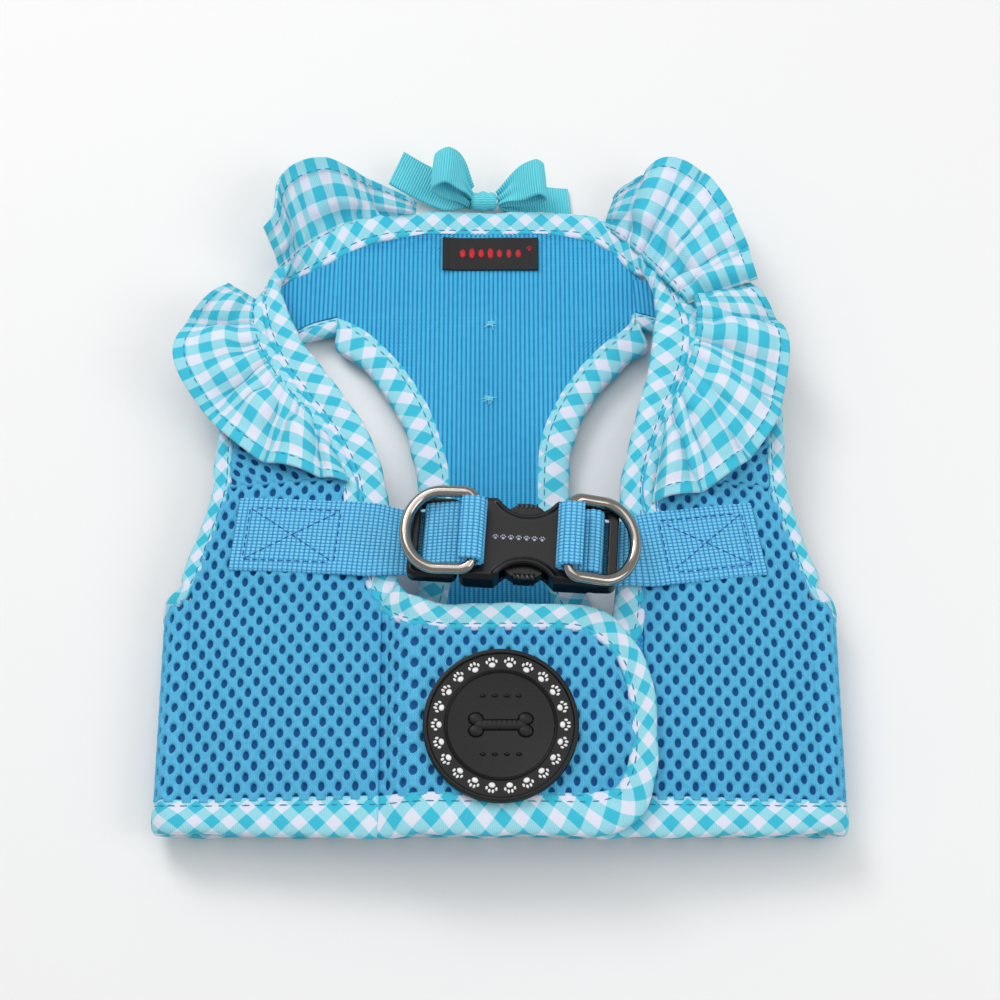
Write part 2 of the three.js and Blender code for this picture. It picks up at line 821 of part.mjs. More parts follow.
function geometryOf(body) {
  const mesh = body.getMesh();
  return new THREE.BufferGeometry()
    .setAttribute("position", new THREE.BufferAttribute(mesh.vertProperties, 3))
    .setIndex(new THREE.BufferAttribute(mesh.triVerts, 1));
}

// A flat outline, extruded evenly above and below the buckle's middle plane
function slab(shape, thickness, bevel = 0) {
  const depth = thickness - 2 * bevel;
  const options = { depth, curveSegments: 4, bevelEnabled: bevel > 0, bevelSegments: 1 };
  Object.assign(options, { bevelSize: bevel, bevelThickness: bevel, bevelOffset: -bevel });
  return new THREE.ExtrudeGeometry(shape, options).translate(0, 0, -depth / 2);
}

function roundedBox(left, right, halfWidth, corner) {
  const shape = new THREE.Shape();
  shape.moveTo(left + corner, -halfWidth);
  shape.lineTo(right - corner, -halfWidth);
  shape.absarc(right - corner, -halfWidth + corner, corner, -Math.PI / 2, 0, false);
  shape.absarc(right - corner, halfWidth - corner, corner, 0, Math.PI / 2, false);
  shape.absarc(left + corner, halfWidth - corner, corner, Math.PI / 2, Math.PI, false);
  shape.absarc(left + corner, -halfWidth + corner, corner, Math.PI, 1.5 * Math.PI, false);
  return shape;
}

const block = (left, right, width, height) =>
  solid(new THREE.BoxGeometry(right - left, width, height).translate((left + right) / 2, 0, 0));

const cavityWidth = socketWidth - 2 * socketWall;
const scallopY = cavityWidth / 2 + scallopRadius - scallopDepth;
const slotLength = loopWidth + 2 * gap + 0.2;
const through = 2 * socketThickness; // tall enough to cut right through
const slot = (side) => {
  const [left, right] = [side * slotIn, side * (slotIn - slotWidth)].sort((a, b) => a - b);
  return block(left, right, slotLength, through);
};

let socket = solid(slab(roundedBox(buckleSplit, end, socketWidth / 2, 2.2), socketThickness, 1));
const armSpace = armHeight + 2 * armClearance;
socket = socket.subtract(block(buckleSplit - 1, armMouth, cavityWidth, armSpace));
for (const side of [-1, 1]) {
  const scallop = new THREE.CylinderGeometry(scallopRadius, scallopRadius, through, 28);
  scallop.rotateX(Math.PI / 2).translate(windowX, side * scallopY, 0);
  socket = socket.subtract(solid(scallop));
}
// The socket's end is as thin as the plug's, where the webbing lies over it
const thinFrom = slotIn - slotWidth - 1;
for (const face of [-1, 1]) {
  const relief = block(thinFrom, end + 1, 2 * socketWidth, socketThickness);
  socket = socket.subtract(relief.translate(0, 0, (face * (plugThickness + socketThickness)) / 2));
}
socket = socket.subtract(slot(1));
add("buckle_socket", geometryOf(socket), "plastic", buckle);

let plug = solid(slab(roundedBox(-end, buckleSplit - gap, plugWidth / 2, 2), plugThickness, 0.8));
plug = plug.subtract(slot(-1)).add(block(buckleSplit - 2, -2, 3.2, 3.6));
add("buckle_plug", geometryOf(plug), "plastic", buckle);

for (const [name, side] of [
  ["upper", 1],
  ["lower", -1],
]) {
  const arm = new THREE.Shape();
  arm.moveTo(buckleSplit + 0.5, side * 3.4);
  arm.lineTo(-2, side * 4);
  arm.lineTo(13, side * 3.6);
  arm.lineTo(13.4, side * 5.4);
  arm.lineTo(windowX + 5.6, side * 7.2);
  arm.quadraticCurveTo(windowX + 4, side * 10.2, windowX, side * 10.6);
  arm.quadraticCurveTo(windowX - 4.4, side * 10.2, windowX - 5.8, side * 7);
  arm.lineTo(buckleSplit + 0.5, side * 5.6);
  arm.closePath();
  add(`buckle_arm_${name}`, slab(arm, armHeight), "plastic", buckle);
}

// D-rings: the straight bar lies in a loop of webbing that comes up through the buckle's slot
const loopZ = socketThickness / 2 + gap + strapThickness / 2;
const ringZ = loopZ + strapThickness / 2 + gap + wire / 2;
const wrap = wire / 2 + gap + strapThickness / 2;
const ringInner = loopWidth + 2 * gap;
const ringDrop = Math.asin((ringZ - plugThickness / 2 - gap - wire / 2) / (end + ringBar.left));
for (const [name, side] of Object.entries(sides)) {
  const bar = side * ringBar[name];
  const slotMid = slotIn - slotWidth / 2;
  const overBody = name === "left" ? plugThickness / 2 + gap + strapThickness / 2 : loopZ;
  const path = [
    [slotIn + 0.5, underBar],
    [slotMid + 0.6, underBar + 0.6],
    [slotMid, 0],
    [slotMid - 0.6, overBody - 0.6],
    [slotMid - 2.8, overBody + 0.2],
    [bar + 4.4, loopZ],
    [bar + 1, ringZ - wrap],
  ];
  for (const angle of [-50, -10, 30, 70]) {
    path.push([bar - wrap * Math.cos(rad(angle)), ringZ + wrap * Math.sin(rad(angle))]);
  }
  path.push([bar + 1.2, ringZ + wrap], [bar + 3.4, ringZ + wrap - 0.4]);
  const line = smoothLine(path.map(([x, z]) => point(side * x, 0, z)), 34);
  const grid = line.map((p) => [-1, 1].map((s) => point(p.x, (s * loopWidth) / 2, p.z)));
  add(`strap_loop_${name}`, sheet(grid, strapThickness), "webbing", buckle);

  const half = (ringInner + wire) / 2;
  const bend = 2 - ringDepth / 2; // where the straight sides turn into the round
  const outline = new THREE.Path();
  outline.moveTo(0, -half + ringCorner);
  outline.lineTo(0, half - ringCorner);
  outline.quadraticCurveTo(0, half, -ringCorner, half);
  outline.lineTo(bend, half);
  outline.absellipse(bend, 0, (ringDepth - wire) / 2 - 0.5, half, Math.PI / 2, 1.5 * Math.PI);
  outline.lineTo(-ringCorner, -half);
  outline.quadraticCurveTo(0, -half, 0, -half + ringCorner);
  const steps = 36;
  const facets = 8;
  const points = outline.getSpacedPoints(steps).slice(0, steps);
  const positions = [];
  const faces = [];
  points.forEach((p, i) => {
    const next = points[(i + 1) % steps];
    const before = points[(i + steps - 1) % steps];
    const out = new THREE.Vector2(next.y - before.y, before.x - next.x).normalize();
    for (let k = 0; k < facets; k++) {
      const angle = (2 * Math.PI * k) / facets;
      const reach = (wire / 2) * Math.cos(angle);
      positions.push(p.x + out.x * reach, p.y + out.y * reach, (wire / 2) * Math.sin(angle));
      const here = i * facets + k;
      const beside = i * facets + ((k + 1) % facets);
      const ahead = ((i + 1) % steps) * facets + k;
      const across = ((i + 1) % steps) * facets + ((k + 1) % facets);
      faces.push(here, ahead, across, here, across, beside);
    }
  });
  const ring = new THREE.BufferGeometry()
    .setAttribute("position", new THREE.Float32BufferAttribute(positions, 3))
    .setIndex(faces);
  const ringMesh = add(`d_ring_${name}`, ring, "steel", buckle);
  ringMesh.position.set(ringBar[name], 0, ringZ);
  ringMesh.rotation.y = side < 0 ? -ringDrop : Math.PI + ringDrop;
}
vest.add(buckle);

// The origin is under the middle of the vest, on the surface that it lies on
vest.updateMatrixWorld(true);
const footprint = new THREE.Box3().setFromObject(vest, true);
const centre = footprint.getCenter(new THREE.Vector3());
vest.position.set(-centre.x, -centre.y, -footprint.min.z);

export default vest;
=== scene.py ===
"""A small dog's vest harness, lying closed on its chest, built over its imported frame."""

import logging
import math
from dataclasses import dataclass, field
from enum import Enum
from typing import Iterable, Sequence

import bpy
import numpy as np
from mathutils import Matrix, Vector


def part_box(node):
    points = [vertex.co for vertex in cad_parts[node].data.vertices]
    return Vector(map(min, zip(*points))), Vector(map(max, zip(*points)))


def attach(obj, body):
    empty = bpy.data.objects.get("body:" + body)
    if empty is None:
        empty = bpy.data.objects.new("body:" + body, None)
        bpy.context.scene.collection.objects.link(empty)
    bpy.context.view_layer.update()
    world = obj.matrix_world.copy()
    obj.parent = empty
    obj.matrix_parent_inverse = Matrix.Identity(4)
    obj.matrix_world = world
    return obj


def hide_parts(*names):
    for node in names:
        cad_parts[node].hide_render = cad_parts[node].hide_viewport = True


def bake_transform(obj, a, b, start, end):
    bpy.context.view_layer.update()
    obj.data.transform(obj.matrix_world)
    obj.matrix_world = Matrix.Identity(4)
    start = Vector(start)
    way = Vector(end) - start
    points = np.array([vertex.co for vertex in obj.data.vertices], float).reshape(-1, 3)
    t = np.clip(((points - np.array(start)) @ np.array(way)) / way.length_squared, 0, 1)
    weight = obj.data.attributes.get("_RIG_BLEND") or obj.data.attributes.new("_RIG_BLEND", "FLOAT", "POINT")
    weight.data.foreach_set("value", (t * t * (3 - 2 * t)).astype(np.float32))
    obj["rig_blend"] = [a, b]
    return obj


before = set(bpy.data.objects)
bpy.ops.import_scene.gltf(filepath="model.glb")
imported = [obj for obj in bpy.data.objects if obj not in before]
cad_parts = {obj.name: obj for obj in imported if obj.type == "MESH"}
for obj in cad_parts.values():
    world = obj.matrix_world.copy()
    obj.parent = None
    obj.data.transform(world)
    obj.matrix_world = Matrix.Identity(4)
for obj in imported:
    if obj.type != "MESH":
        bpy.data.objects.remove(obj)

logging.basicConfig(level=logging.INFO, format="%(message)s")
log = logging.getLogger("vest")

MM = 0.001  # the pattern is in millimetres and the scene in metres
Colour = tuple[float, float, float, float]


# shapes


def smoothstep(x: np.ndarray | float, low: float, high: float) -> np.ndarray:
    """A soft step from 0 at low to 1 at high."""
    t = np.clip((np.asarray(x, float) - low) / (high - low), 0, 1)
    return t * t * (3 - 2 * t)


def blend_between(
    a: np.ndarray | float, b: np.ndarray | float, t: np.ndarray | float
) -> np.ndarray:
    """The value a share t of the way from a to b."""
    return a + (b - a) * t


def unit(v: np.ndarray) -> np.ndarray:
    """Each vector at length one."""
    return v / np.maximum(np.linalg.norm(v, axis=-1, keepdims=True), 1e-9)


def smooth_line(points: Sequence[Sequence[float]], count: int) -> np.ndarray:
    """A smooth line through the points, as centripetal splines.

    Args:
        points: the points that it passes through.
        count: how many points come back.

    Returns:
        The line's points, evenly spaced by control point.
    """
    p = np.asarray(points, float)
    padded = np.vstack([2 * p[0] - p[1], p, 2 * p[-1] - p[-2]])
    place = np.linspace(0, len(p) - 1, count)
    first = np.minimum(place.astype(int), len(p) - 2)
    w = (place - first)[:, None]
    a, b, c, d = (padded[first + k] for k in range(4))
    gap_1 = np.maximum(np.linalg.norm(b - a, axis=1, keepdims=True) ** 0.5, 1e-4)
    gap_2 = np.maximum(np.linalg.norm(c - b, axis=1, keepdims=True) ** 0.5, 1e-4)
    gap_3 = np.maximum(np.linalg.norm(d - c, axis=1, keepdims=True) ** 0.5, 1e-4)
    leave = ((b - a) / gap_1 - (c - a) / (gap_1 + gap_2) + (c - b) / gap_2) * gap_2
    reach = ((c - b) / gap_2 - (d - b) / (gap_2 + gap_3) + (d - c) / gap_3) * gap_2
    return (
        b
        + leave * w
        + (3 * (c - b) - 2 * leave - reach) * w**2
        + (2 * (b - c) + leave + reach) * w**3
    )


def lengths_along(line: np.ndarray) -> np.ndarray:
    """How far along the line each of its points is."""
    steps = np.linalg.norm(np.diff(line, axis=0), axis=1)
    return np.concatenate([[0], np.cumsum(steps)])


def resample(line: np.ndarray, at: np.ndarray, places: np.ndarray) -> np.ndarray:
    """The line's points at other places along it."""
    return np.stack([np.interp(places, at, line[:, k]) for k in range(line.shape[1])], axis=1)


def rails(
    first: Sequence[Sequence[float]], second: Sequence[Sequence[float]], step: float
) -> tuple[np.ndarray, np.ndarray, np.ndarray]:
    """Two matching edges as smooth lines with even steps along their middle.

    Args:
        first: points of one edge.
        second: the matching points of the other.
        step: length of a step.

    Returns:
        Both lines and how far along each of their points is.
    """
    dense = 14 * len(first)
    a, b = smooth_line(first, dense), smooth_line(second, dense)
    at = lengths_along((a + b) / 2)
    places = np.linspace(0, at[-1], max(8, int(at[-1] / step)))
    return resample(a, at, places), resample(b, at, places), places


def ruled(a: np.ndarray, b: np.ndarray, columns: int) -> np.ndarray:
    """A grid of points between two lines."""
    t = np.linspace(0, 1, columns)[None, :, None]
    return a[:, None, :] * (1 - t) + b[:, None, :] * t


def cloth_map(u: np.ndarray, v: np.ndarray) -> np.ndarray:
    """The cloth's own millimetres over a grid, from its rows' and its columns' places."""
    return np.stack(np.broadcast_arrays(u, v), -1)


def grid_normals(grid: np.ndarray) -> np.ndarray:
    """The direction square to the grid at each of its points."""
    return unit(np.cross(np.gradient(grid, axis=0), np.gradient(grid, axis=1)))


def stretched(coarse: np.ndarray, shape: tuple[int, int]) -> np.ndarray:
    """A coarse grid of values spread over a finer one."""
    rows = np.linspace(0, coarse.shape[0] - 1, shape[0])
    columns = np.linspace(0, coarse.shape[1] - 1, shape[1])
    i = np.minimum(rows.astype(int), coarse.shape[0] - 2)
    j = np.minimum(columns.astype(int), coarse.shape[1] - 2)
    a, b = (rows - i)[:, None], (columns - j)[None, :]
    a, b = a * a * (3 - 2 * a), b * b * (3 - 2 * b)
    near, far = coarse[i], coarse[i + 1]
    return (near[:, j] * (1 - b) + near[:, j + 1] * b) * (1 - a) + (
        far[:, j] * (1 - b) + far[:, j + 1] * b
    ) * a


@dataclass(frozen=True)
class Drape:
    """Heights of the vest's layers as it lies, in pattern millimetres."""

    side_x: float = 80.5
    side_z: float = 13.35
    fold_middle: float = 7.5
    fold_radius: float = 5.85
    crown_hem: float = 16.5
    crown_waist: float = 21.5
    waist: float = -38
    hem: float = -93
    shoulder: float = 60
    chest_rest: float = 1.65
    chest_lift: float = 2.3
    flap_lift: float = 4.0

    def crown(self, y: np.ndarray) -> np.ndarray:
        """Height of the back's middle."""
        low = self.crown_waist + (self.crown_waist - self.crown_hem) * (y - self.waist) / (
            self.waist - self.hem
        )
        high = self.crown_waist + np.sin(np.pi * (y - self.waist) / (self.shoulder - self.waist))
        return np.where(y < self.waist, low, high)

    def back(self, x: np.ndarray, y: np.ndarray) -> np.ndarray:
        """Height of the back's fabric."""
        x, y = np.asarray(x, float), np.asarray(y, float)
        share = np.minimum(1, np.abs(x) / self.side_x)
        return self.side_z + (self.crown(y) - self.side_z) * (1 - share**3) ** 1.5

    def flap(self, x: np.ndarray, y: np.ndarray) -> np.ndarray:
        """Height of the closing flap's fabric, which climbs over the underlap."""
        return self.back(x, y) + self.flap_lift * smoothstep(x, -28.5, -20.3)

    def chest(self, y: np.ndarray) -> np.ndarray:
        """Height of the chest's fabric."""
        return self.chest_rest + self.chest_lift * smoothstep(y, -25, 25)

    def turn(self, side: int, angle: np.ndarray, y: np.ndarray) -> np.ndarray:
        """A point of the rolled side."""
        return np.stack(
            [
                side * (self.side_x + self.fold_radius * np.cos(angle)),
                np.broadcast_to(y, np.shape(angle)),
                self.fold_middle + self.fold_radius * np.sin(angle),
            ],
            axis=-1,
        )


DRAPE = Drape()


def on_back(points: Sequence[Sequence[float]], lift: float = 0) -> list[list[float]]:
    """Points with their own height, or else on the back's fabric."""
    return [
        [p[0], p[1], (p[2] if len(p) > 2 else float(DRAPE.back(p[0], p[1]))) + lift] for p in points
    ]


def on_chest(points: Sequence[Sequence[float]]) -> list[list[float]]:
    """Points on the chest's fabric."""
    return [[p[0], p[1], float(DRAPE.chest(p[1]))] for p in points]


def on_flap(points: Sequence[Sequence[float]]) -> list[list[float]]:
    """Points on the flap's fabric."""
    return [[p[0], p[1], float(DRAPE.flap(p[0], p[1]))] for p in points]


# finishes


class Signal:
    """A number in a material, with shader maths as Python operators."""

    def __init__(self, tree: bpy.types.NodeTree, socket: bpy.types.NodeSocket) -> None:
        """Wraps a socket of that tree."""
        self.tree = tree
        self.socket = socket

    def _math(self, kind: str, *others: "Signal | float", first: "float | None" = None) -> "Signal":
        """One Math node of that kind on this signal and others."""
        node = self.tree.nodes.new("ShaderNodeMath")
        node.operation = kind
        parts: list[Signal | float] = [self, *others]
        if first is not None:
            parts = [first, self]
        for socket, part in zip(node.inputs, parts):
            if isinstance(part, Signal):
                self.tree.links.new(part.socket, socket)
            else:
                socket.default_value = part
        return Signal(self.tree, node.outputs[0])

    def __add__(self, other: "Signal | float") -> "Signal":
        """Sum."""
        return self._math("ADD", other)

    def __radd__(self, other: float) -> "Signal":
        """Sum, from the right."""
        return self._math("ADD", first=other)

    def __sub__(self, other: "Signal | float") -> "Signal":
        """Difference."""
        return self._math("SUBTRACT", other)

    def __rsub__(self, other: float) -> "Signal":
        """Difference, from the right."""
        return self._math("SUBTRACT", first=other)

    def __mul__(self, other: "Signal | float") -> "Signal":
        """Product."""
        return self._math("MULTIPLY", other)

    def __rmul__(self, other: float) -> "Signal":
        """Product, from the right."""
        return self._math("MULTIPLY", first=other)

    def __truediv__(self, other: "Signal | float") -> "Signal":
        """Quotient."""
        return self._math("DIVIDE", other)

    def __rtruediv__(self, other: float) -> "Signal":
        """Quotient, from the right."""
        return self._math("DIVIDE", first=other)

    def __pow__(self, other: "Signal | float") -> "Signal":
        """Power."""
        return self._math("POWER", other)

    def __rpow__(self, other: float) -> "Signal":
        """Power, from the right."""
        return self._math("POWER", first=other)

    def __neg__(self) -> "Signal":
        """Opposite."""
        return self._math("MULTIPLY", -1.0)

    def __abs__(self) -> "Signal":
        """Size."""
        return self._math("ABSOLUTE")

    def least(self, other: "Signal | float") -> "Signal":
        """The smaller of the two."""
        return self._math("MINIMUM", other)

    def most(self, other: "Signal | float") -> "Signal":
        """The larger of the two."""
        return self._math("MAXIMUM", other)

    def wave(self, pitch: float) -> "Signal":
        """A sine from -1 to 1 that repeats at that pitch."""
        return (self * (2 * math.pi / pitch))._math("SINE")

    def fraction(self) -> "Signal":
        """The part after the point."""
        return self._math("FRACT")

    def clamped(self) -> "Signal":
        """Held between 0 and 1."""
        return self.least(1.0).most(0.0)

    def ramp(self, low: float, high: float) -> "Signal":
        """0 at low and 1 at high, with soft ends."""
        t = ((self - low) / (high - low)).clamped()
        return t * t * (3.0 - 2.0 * t)


class Recipe:
    """One material's nodes, around a Principled shader."""

    def __init__(self, name: str) -> None:
        """Starts an empty material of that name."""
        self.material = bpy.data.materials.new(name)
        self.material.use_nodes = True
        self.tree = self.material.node_tree
        self.tree.nodes.clear()
        self.surface = self.node("ShaderNodeBsdfPrincipled")
        self.node("ShaderNodeOutputMaterial", inputs={"Surface": self.surface.outputs[0]})

    def node(
        self, kind: str, settings: dict | None = None, inputs: dict | None = None
    ) -> bpy.types.Node:
        """Adds a node.

        Args:
            kind: the node's type.
            settings: its own settings by name.
            inputs: values or sockets for its inputs, by name or number.

        Returns:
            The new node.
        """
        node = self.tree.nodes.new(kind)
        for key, value in (settings or {}).items():
            setattr(node, key, value)
        self.feed(node, inputs or {})
        return node

    def feed(self, node: bpy.types.Node, inputs: dict) -> None:
        """Sets or links a node's inputs."""
        for key, value in inputs.items():
            if isinstance(value, Signal):
                value = value.socket
            if isinstance(value, bpy.types.NodeSocket):
                self.tree.links.new(value, node.inputs[key])
            else:
                node.inputs[key].default_value = value

    def signal(self, socket: bpy.types.NodeSocket) -> Signal:
        """A socket as a signal."""
        return Signal(self.tree, socket)

    def cloth(self) -> tuple[Signal, Signal]:
        """The cloth's own millimetres, along and across."""
        uv = self.node("ShaderNodeUVMap", {"uv_map": "cloth"})
        parts = self.node("ShaderNodeSeparateXYZ", inputs={0: uv.outputs[0]})
        return self.signal(parts.outputs[0]), self.signal(parts.outputs[1])

    def noise(self, scale: float, detail: float = 2, stretch: tuple | None = None) -> Signal:
        """Soft noise on the object's own coordinates, per metre."""
        place = self.node("ShaderNodeTexCoord").outputs["Object"]
        if stretch:
            settings = {"operation": "MULTIPLY"}
            place = self.node("ShaderNodeVectorMath", settings, {0: place, 1: stretch}).outputs[0]
        values = {"Vector": place, "Scale": scale, "Detail": detail}
        return self.signal(self.node("ShaderNodeTexNoise", inputs=values).outputs[0])

    def mix(self, first: object, second: object, share: Signal) -> bpy.types.NodeSocket:
        """A colour between two, by that share."""
        node = self.node("ShaderNodeMix", {"data_type": "RGBA"}, {0: share, 6: first, 7: second})
        return node.outputs[2]

    def shade(
        self, depth: float, height: Signal | None = None, **values: object
    ) -> bpy.types.Material:
        """Finishes the material.

        Args:
            depth: how deep the relief is, in metres.
            height: the relief from 0 to 1.
            values: the shader's inputs, with spaces as underscores.

        Returns:
            The material.
        """
        self.feed(self.surface, {key.replace("_", " "): value for key, value in values.items()})
        if height is not None:
            inputs = {"Height": height, "Distance": depth, "Strength": 1.0}
            bump = self.node("ShaderNodeBump", inputs=inputs)
            self.feed(self.surface, {"Normal": bump.outputs[0]})
        return self.material


def paint(red: int, green: int, blue: int) -> Colour:
    """A colour given as screen values from 0 to 255."""

    def linear(value: int) -> float:
        """One channel of it as light."""
        share = value / 255
        return share / 12.92 if share <= 0.04045 else ((share + 0.055) / 1.055) ** 2.4

    return (linear(red), linear(green), linear(blue), 1.0)


class Grain(Enum):
    """Which way the checked cotton is cut."""

    STRAIGHT = "straight"
    BIAS = "bias"


@dataclass(frozen=True)
class AirMesh:
    """Open spacer knit with staggered oval holes."""

    name: str = "air mesh"
    slot: str = "air_mesh"
    across: float = 4.25
    along: float = 5.5
    hole: tuple[float, float] = (0.8, 1.18)
    depth: float = 1.15
    # yarn is the mesh's own colour; the lighter colour is partly random tone and partly a painted highlight
    # on the knit's raised loops; the darkest colour is painted shade inside the holes
    yarn: Colour = paint(58, 172, 224)
    light: Colour = paint(108, 208, 246)
    painted_shade: Colour = paint(4, 88, 150)

    def holes(self, u: np.ndarray, v: np.ndarray) -> np.ndarray:
        """How much of a hole there is at a place of the cloth, from 0 to 1."""
        share = []
        for shift in (0.0, 0.5):
            x = ((u / self.across + shift + 0.5) % 1 - 0.5) * self.across / self.hole[0]
            y = ((v / self.along + shift + 0.5) % 1 - 0.5) * self.along / self.hole[1]
            share.append(x * x + y * y)
        return 1 - smoothstep(np.minimum(*share), 0.55, 1.7)

    def relief(self, u: np.ndarray, v: np.ndarray) -> np.ndarray:
        """The knit's height over its face, in millimetres."""
        ribs = 0.06 * np.sin(2 * np.pi * u / (self.across / 2)) * np.sin(2 * np.pi * v / self.along)
        return ribs - self.depth * self.holes(u, v)

    def material(self) -> bpy.types.Material:
        """Builds the material, with painted shade in the holes and a painted highlight on the knit's raised
        loops.
        """
        r = Recipe(self.name)
        u, v = r.cloth()
        share = []
        for shift in (0.0, 0.5):
            x = ((u / self.across + (shift + 40.5)).fraction() - 0.5) * (self.across / self.hole[0])
            y = ((v / self.along + (shift + 40.5)).fraction() - 0.5) * (self.along / self.hole[1])
            share.append(x * x + y * y)
        near = share[0].least(share[1])
        hole = 1.0 - near.ramp(0.75, 1.35)
        zigzag = abs((v / 0.92 + 100.0).fraction() - 0.5)
        knit = (u + zigzag * 0.55).wave(0.46) * 0.5 + 0.5
        rough = r.noise(900, 3)
        # lighter where the knit's loops stand up: painted highlight, with random tone from the noise
        tone = r.mix(self.yarn, self.light, (knit * 0.75 + rough * 0.9 - 0.35).clamped())
        # painted shade inside the holes
        colour = r.mix(tone, self.painted_shade, hole)
        height = knit * 0.7 + rough * 0.3
        return r.shade(0.00022, height, Base_Color=colour, Roughness=0.82)


@dataclass(frozen=True)
class RibKnit:
    """Fine ribbed knit of the inside."""

    name: str = "rib knit"
    slot: str = "lining_knit"
    pitch: float = 1.25
    depth: float = 0.26
    rib: Colour = paint(62, 184, 232)
    # rib is the knit's own colour; groove is painted shade for the grooves between the ribs
    groove: Colour = paint(8, 92, 150)

    def relief(self, u: np.ndarray, v: np.ndarray) -> np.ndarray:
        """Height of the ribs in millimetres."""
        return self.depth * (np.cos(2 * np.pi * u / self.pitch) - 1) / 2 + 0 * v

    def material(self) -> bpy.types.Material:
        """Builds the material, with painted shade in the grooves between the ribs and loops."""
        r = Recipe(self.name)
        u, v = r.cloth()
        rib = (u + self.pitch / 4).wave(self.pitch) * 0.5 + 0.5
        loops = (v + rib * 0.25).wave(0.62) * 0.5 + 0.5
        # painted shade, strongest in the grooves between the ribs and between the loops; the noise adds
        # random tone
        groove_shade_mask = (1.0 - rib).ramp(0.35, 0.85) * (0.3 + 0.7 * loops)
        colour = r.mix(self.rib, self.groove, (groove_shade_mask + r.noise(500) * 0.25 - 0.1).clamped())
        height = rib * 0.6 + loops * 0.4
        return r.shade(0.00016, height, Base_Color=colour, Roughness=0.85)


@dataclass(frozen=True)
class Gingham:
    """Checked cotton in white and turquoise."""

    grain: Grain
    slot: str = "gingham"
    check: float = 3.1
    white: Colour = paint(226, 230, 246)
    middle: Colour = paint(140, 218, 232)
    full: Colour = paint(52, 190, 218)

    def material(self) -> bpy.types.Material:
        """Builds the material."""
        r = Recipe(f"gingham {self.grain.value}")
        u, v = r.cloth()
        a, b = u, v
        if self.grain is Grain.BIAS:
            a, b = (u + v) * math.sqrt(0.5), (u - v) * math.sqrt(0.5)
        stripes = [(way.wave(2 * self.check) * 5.0 + 0.5).clamped() for way in (a, b)]
        both = stripes[0] + stripes[1]
        twill = (a + b).wave(0.62) * 0.5 + 0.5
        once = (both.clamped() - (both - 1.0).clamped()) * (0.72 + 0.45 * twill)
        tone = r.mix(self.white, self.middle, (once + (both - 1.0).clamped()).clamped())
        colour = r.mix(tone, self.full, (both - 1.0).clamped())
        threads = a.wave(0.36) * b.wave(0.36) * 0.5 + 0.5
        height = threads * 0.5 + r.noise(420, 3) * 0.5
        return r.shade(0.00012, height, Base_Color=colour, Roughness=0.8)


@dataclass(frozen=True)
class Webbing:
    """Tightly woven strap."""

    name: str = "webbing"
    slot: str = "webbing"
    # mid is the strap's own colour; the darker colour is painted shade between the woven knots and the
    # lighter one a painted highlight on their tops
    light: Colour = paint(132, 220, 255)
    mid: Colour = paint(74, 186, 245)
    painted_shade: Colour = paint(24, 126, 198)

    def material(self) -> bpy.types.Material:
        """Builds the material, with painted shade between the woven knots and a painted highlight on their
        tops.
        """
        r = Recipe(self.name)
        u, v = r.cloth()
        pick = abs(u.wave(2.6))
        end = abs((v + pick * 0.12).wave(1.9))
        knots = (pick * end) ** 0.7
        lines = (v.wave(0.31) * 0.5 + 0.5) * 0.2
        # painted shade and highlight: darker between the knots, lighter on their tops and along the fine
        # lines
        tone = r.mix(self.painted_shade, self.mid, (knots * 2.0).clamped())
        colour = r.mix(tone, self.light, (knots * 1.4 - 0.45 + lines).clamped())
        height = knots * 0.85 + lines
        return r.shade(0.0004, height, Base_Color=colour, Roughness=0.6)


@dataclass(frozen=True)
class Grosgrain:
    """Ribbon with fine ribs across it."""

    name: str = "grosgrain"
    slot: str = "ribbon"
    pitch: float = 0.75
    # the lighter colour is a painted highlight on the rib tops and the darker one painted shade between
    # them; the threads across add a small weave pattern
    light: Colour = paint(112, 226, 238)
    painted_shade: Colour = paint(58, 190, 210)

    def relief(self, u: np.ndarray, v: np.ndarray) -> np.ndarray:
        """Height of the ribs in millimetres."""
        return 0.07 * np.cos(2 * np.pi * u / self.pitch) + 0 * v

    def material(self) -> bpy.types.Material:
        """Builds the material, with a painted highlight on the rib tops and painted shade between them."""
        r = Recipe(self.name)
        u, v = r.cloth()
        rib = (u + self.pitch / 4).wave(self.pitch) * 0.5 + 0.5
        thread = v.wave(0.3) * 0.5 + 0.5
        # painted highlight and shade on the ribs, with a small weave pattern from the threads
        colour = r.mix(self.painted_shade, self.light, (rib * 0.8 + thread * 0.2).clamped())
        return r.shade(0.0001, rib, Base_Color=colour, Roughness=0.45, Sheen_Weight=0.2)


@dataclass(frozen=True)
class Plain:
    """A solid colour with a fine grain."""

    name: str
    slot: str
    colour: Colour
    shade: Colour
    roughness: float = 0.5
    grain: float = 800
    depth: float = 0.00003
    metallic: float = 0.0
    specular: float = 0.5
    stretch: tuple[float, float, float] | None = None

    def material(self) -> bpy.types.Material:
        """Builds the material."""
        r = Recipe(self.name)
        speck = r.noise(self.grain, 3, self.stretch)
        colour = r.mix(self.colour, self.shade, speck.ramp(0.35, 0.7))
        rough = speck * 0.12 + (self.roughness - 0.06)
        return r.shade(
            self.depth,
            speck,
            Base_Color=colour,
            Roughness=rough,
            Metallic=self.metallic,
            Specular_IOR_Level=self.specular,
        )


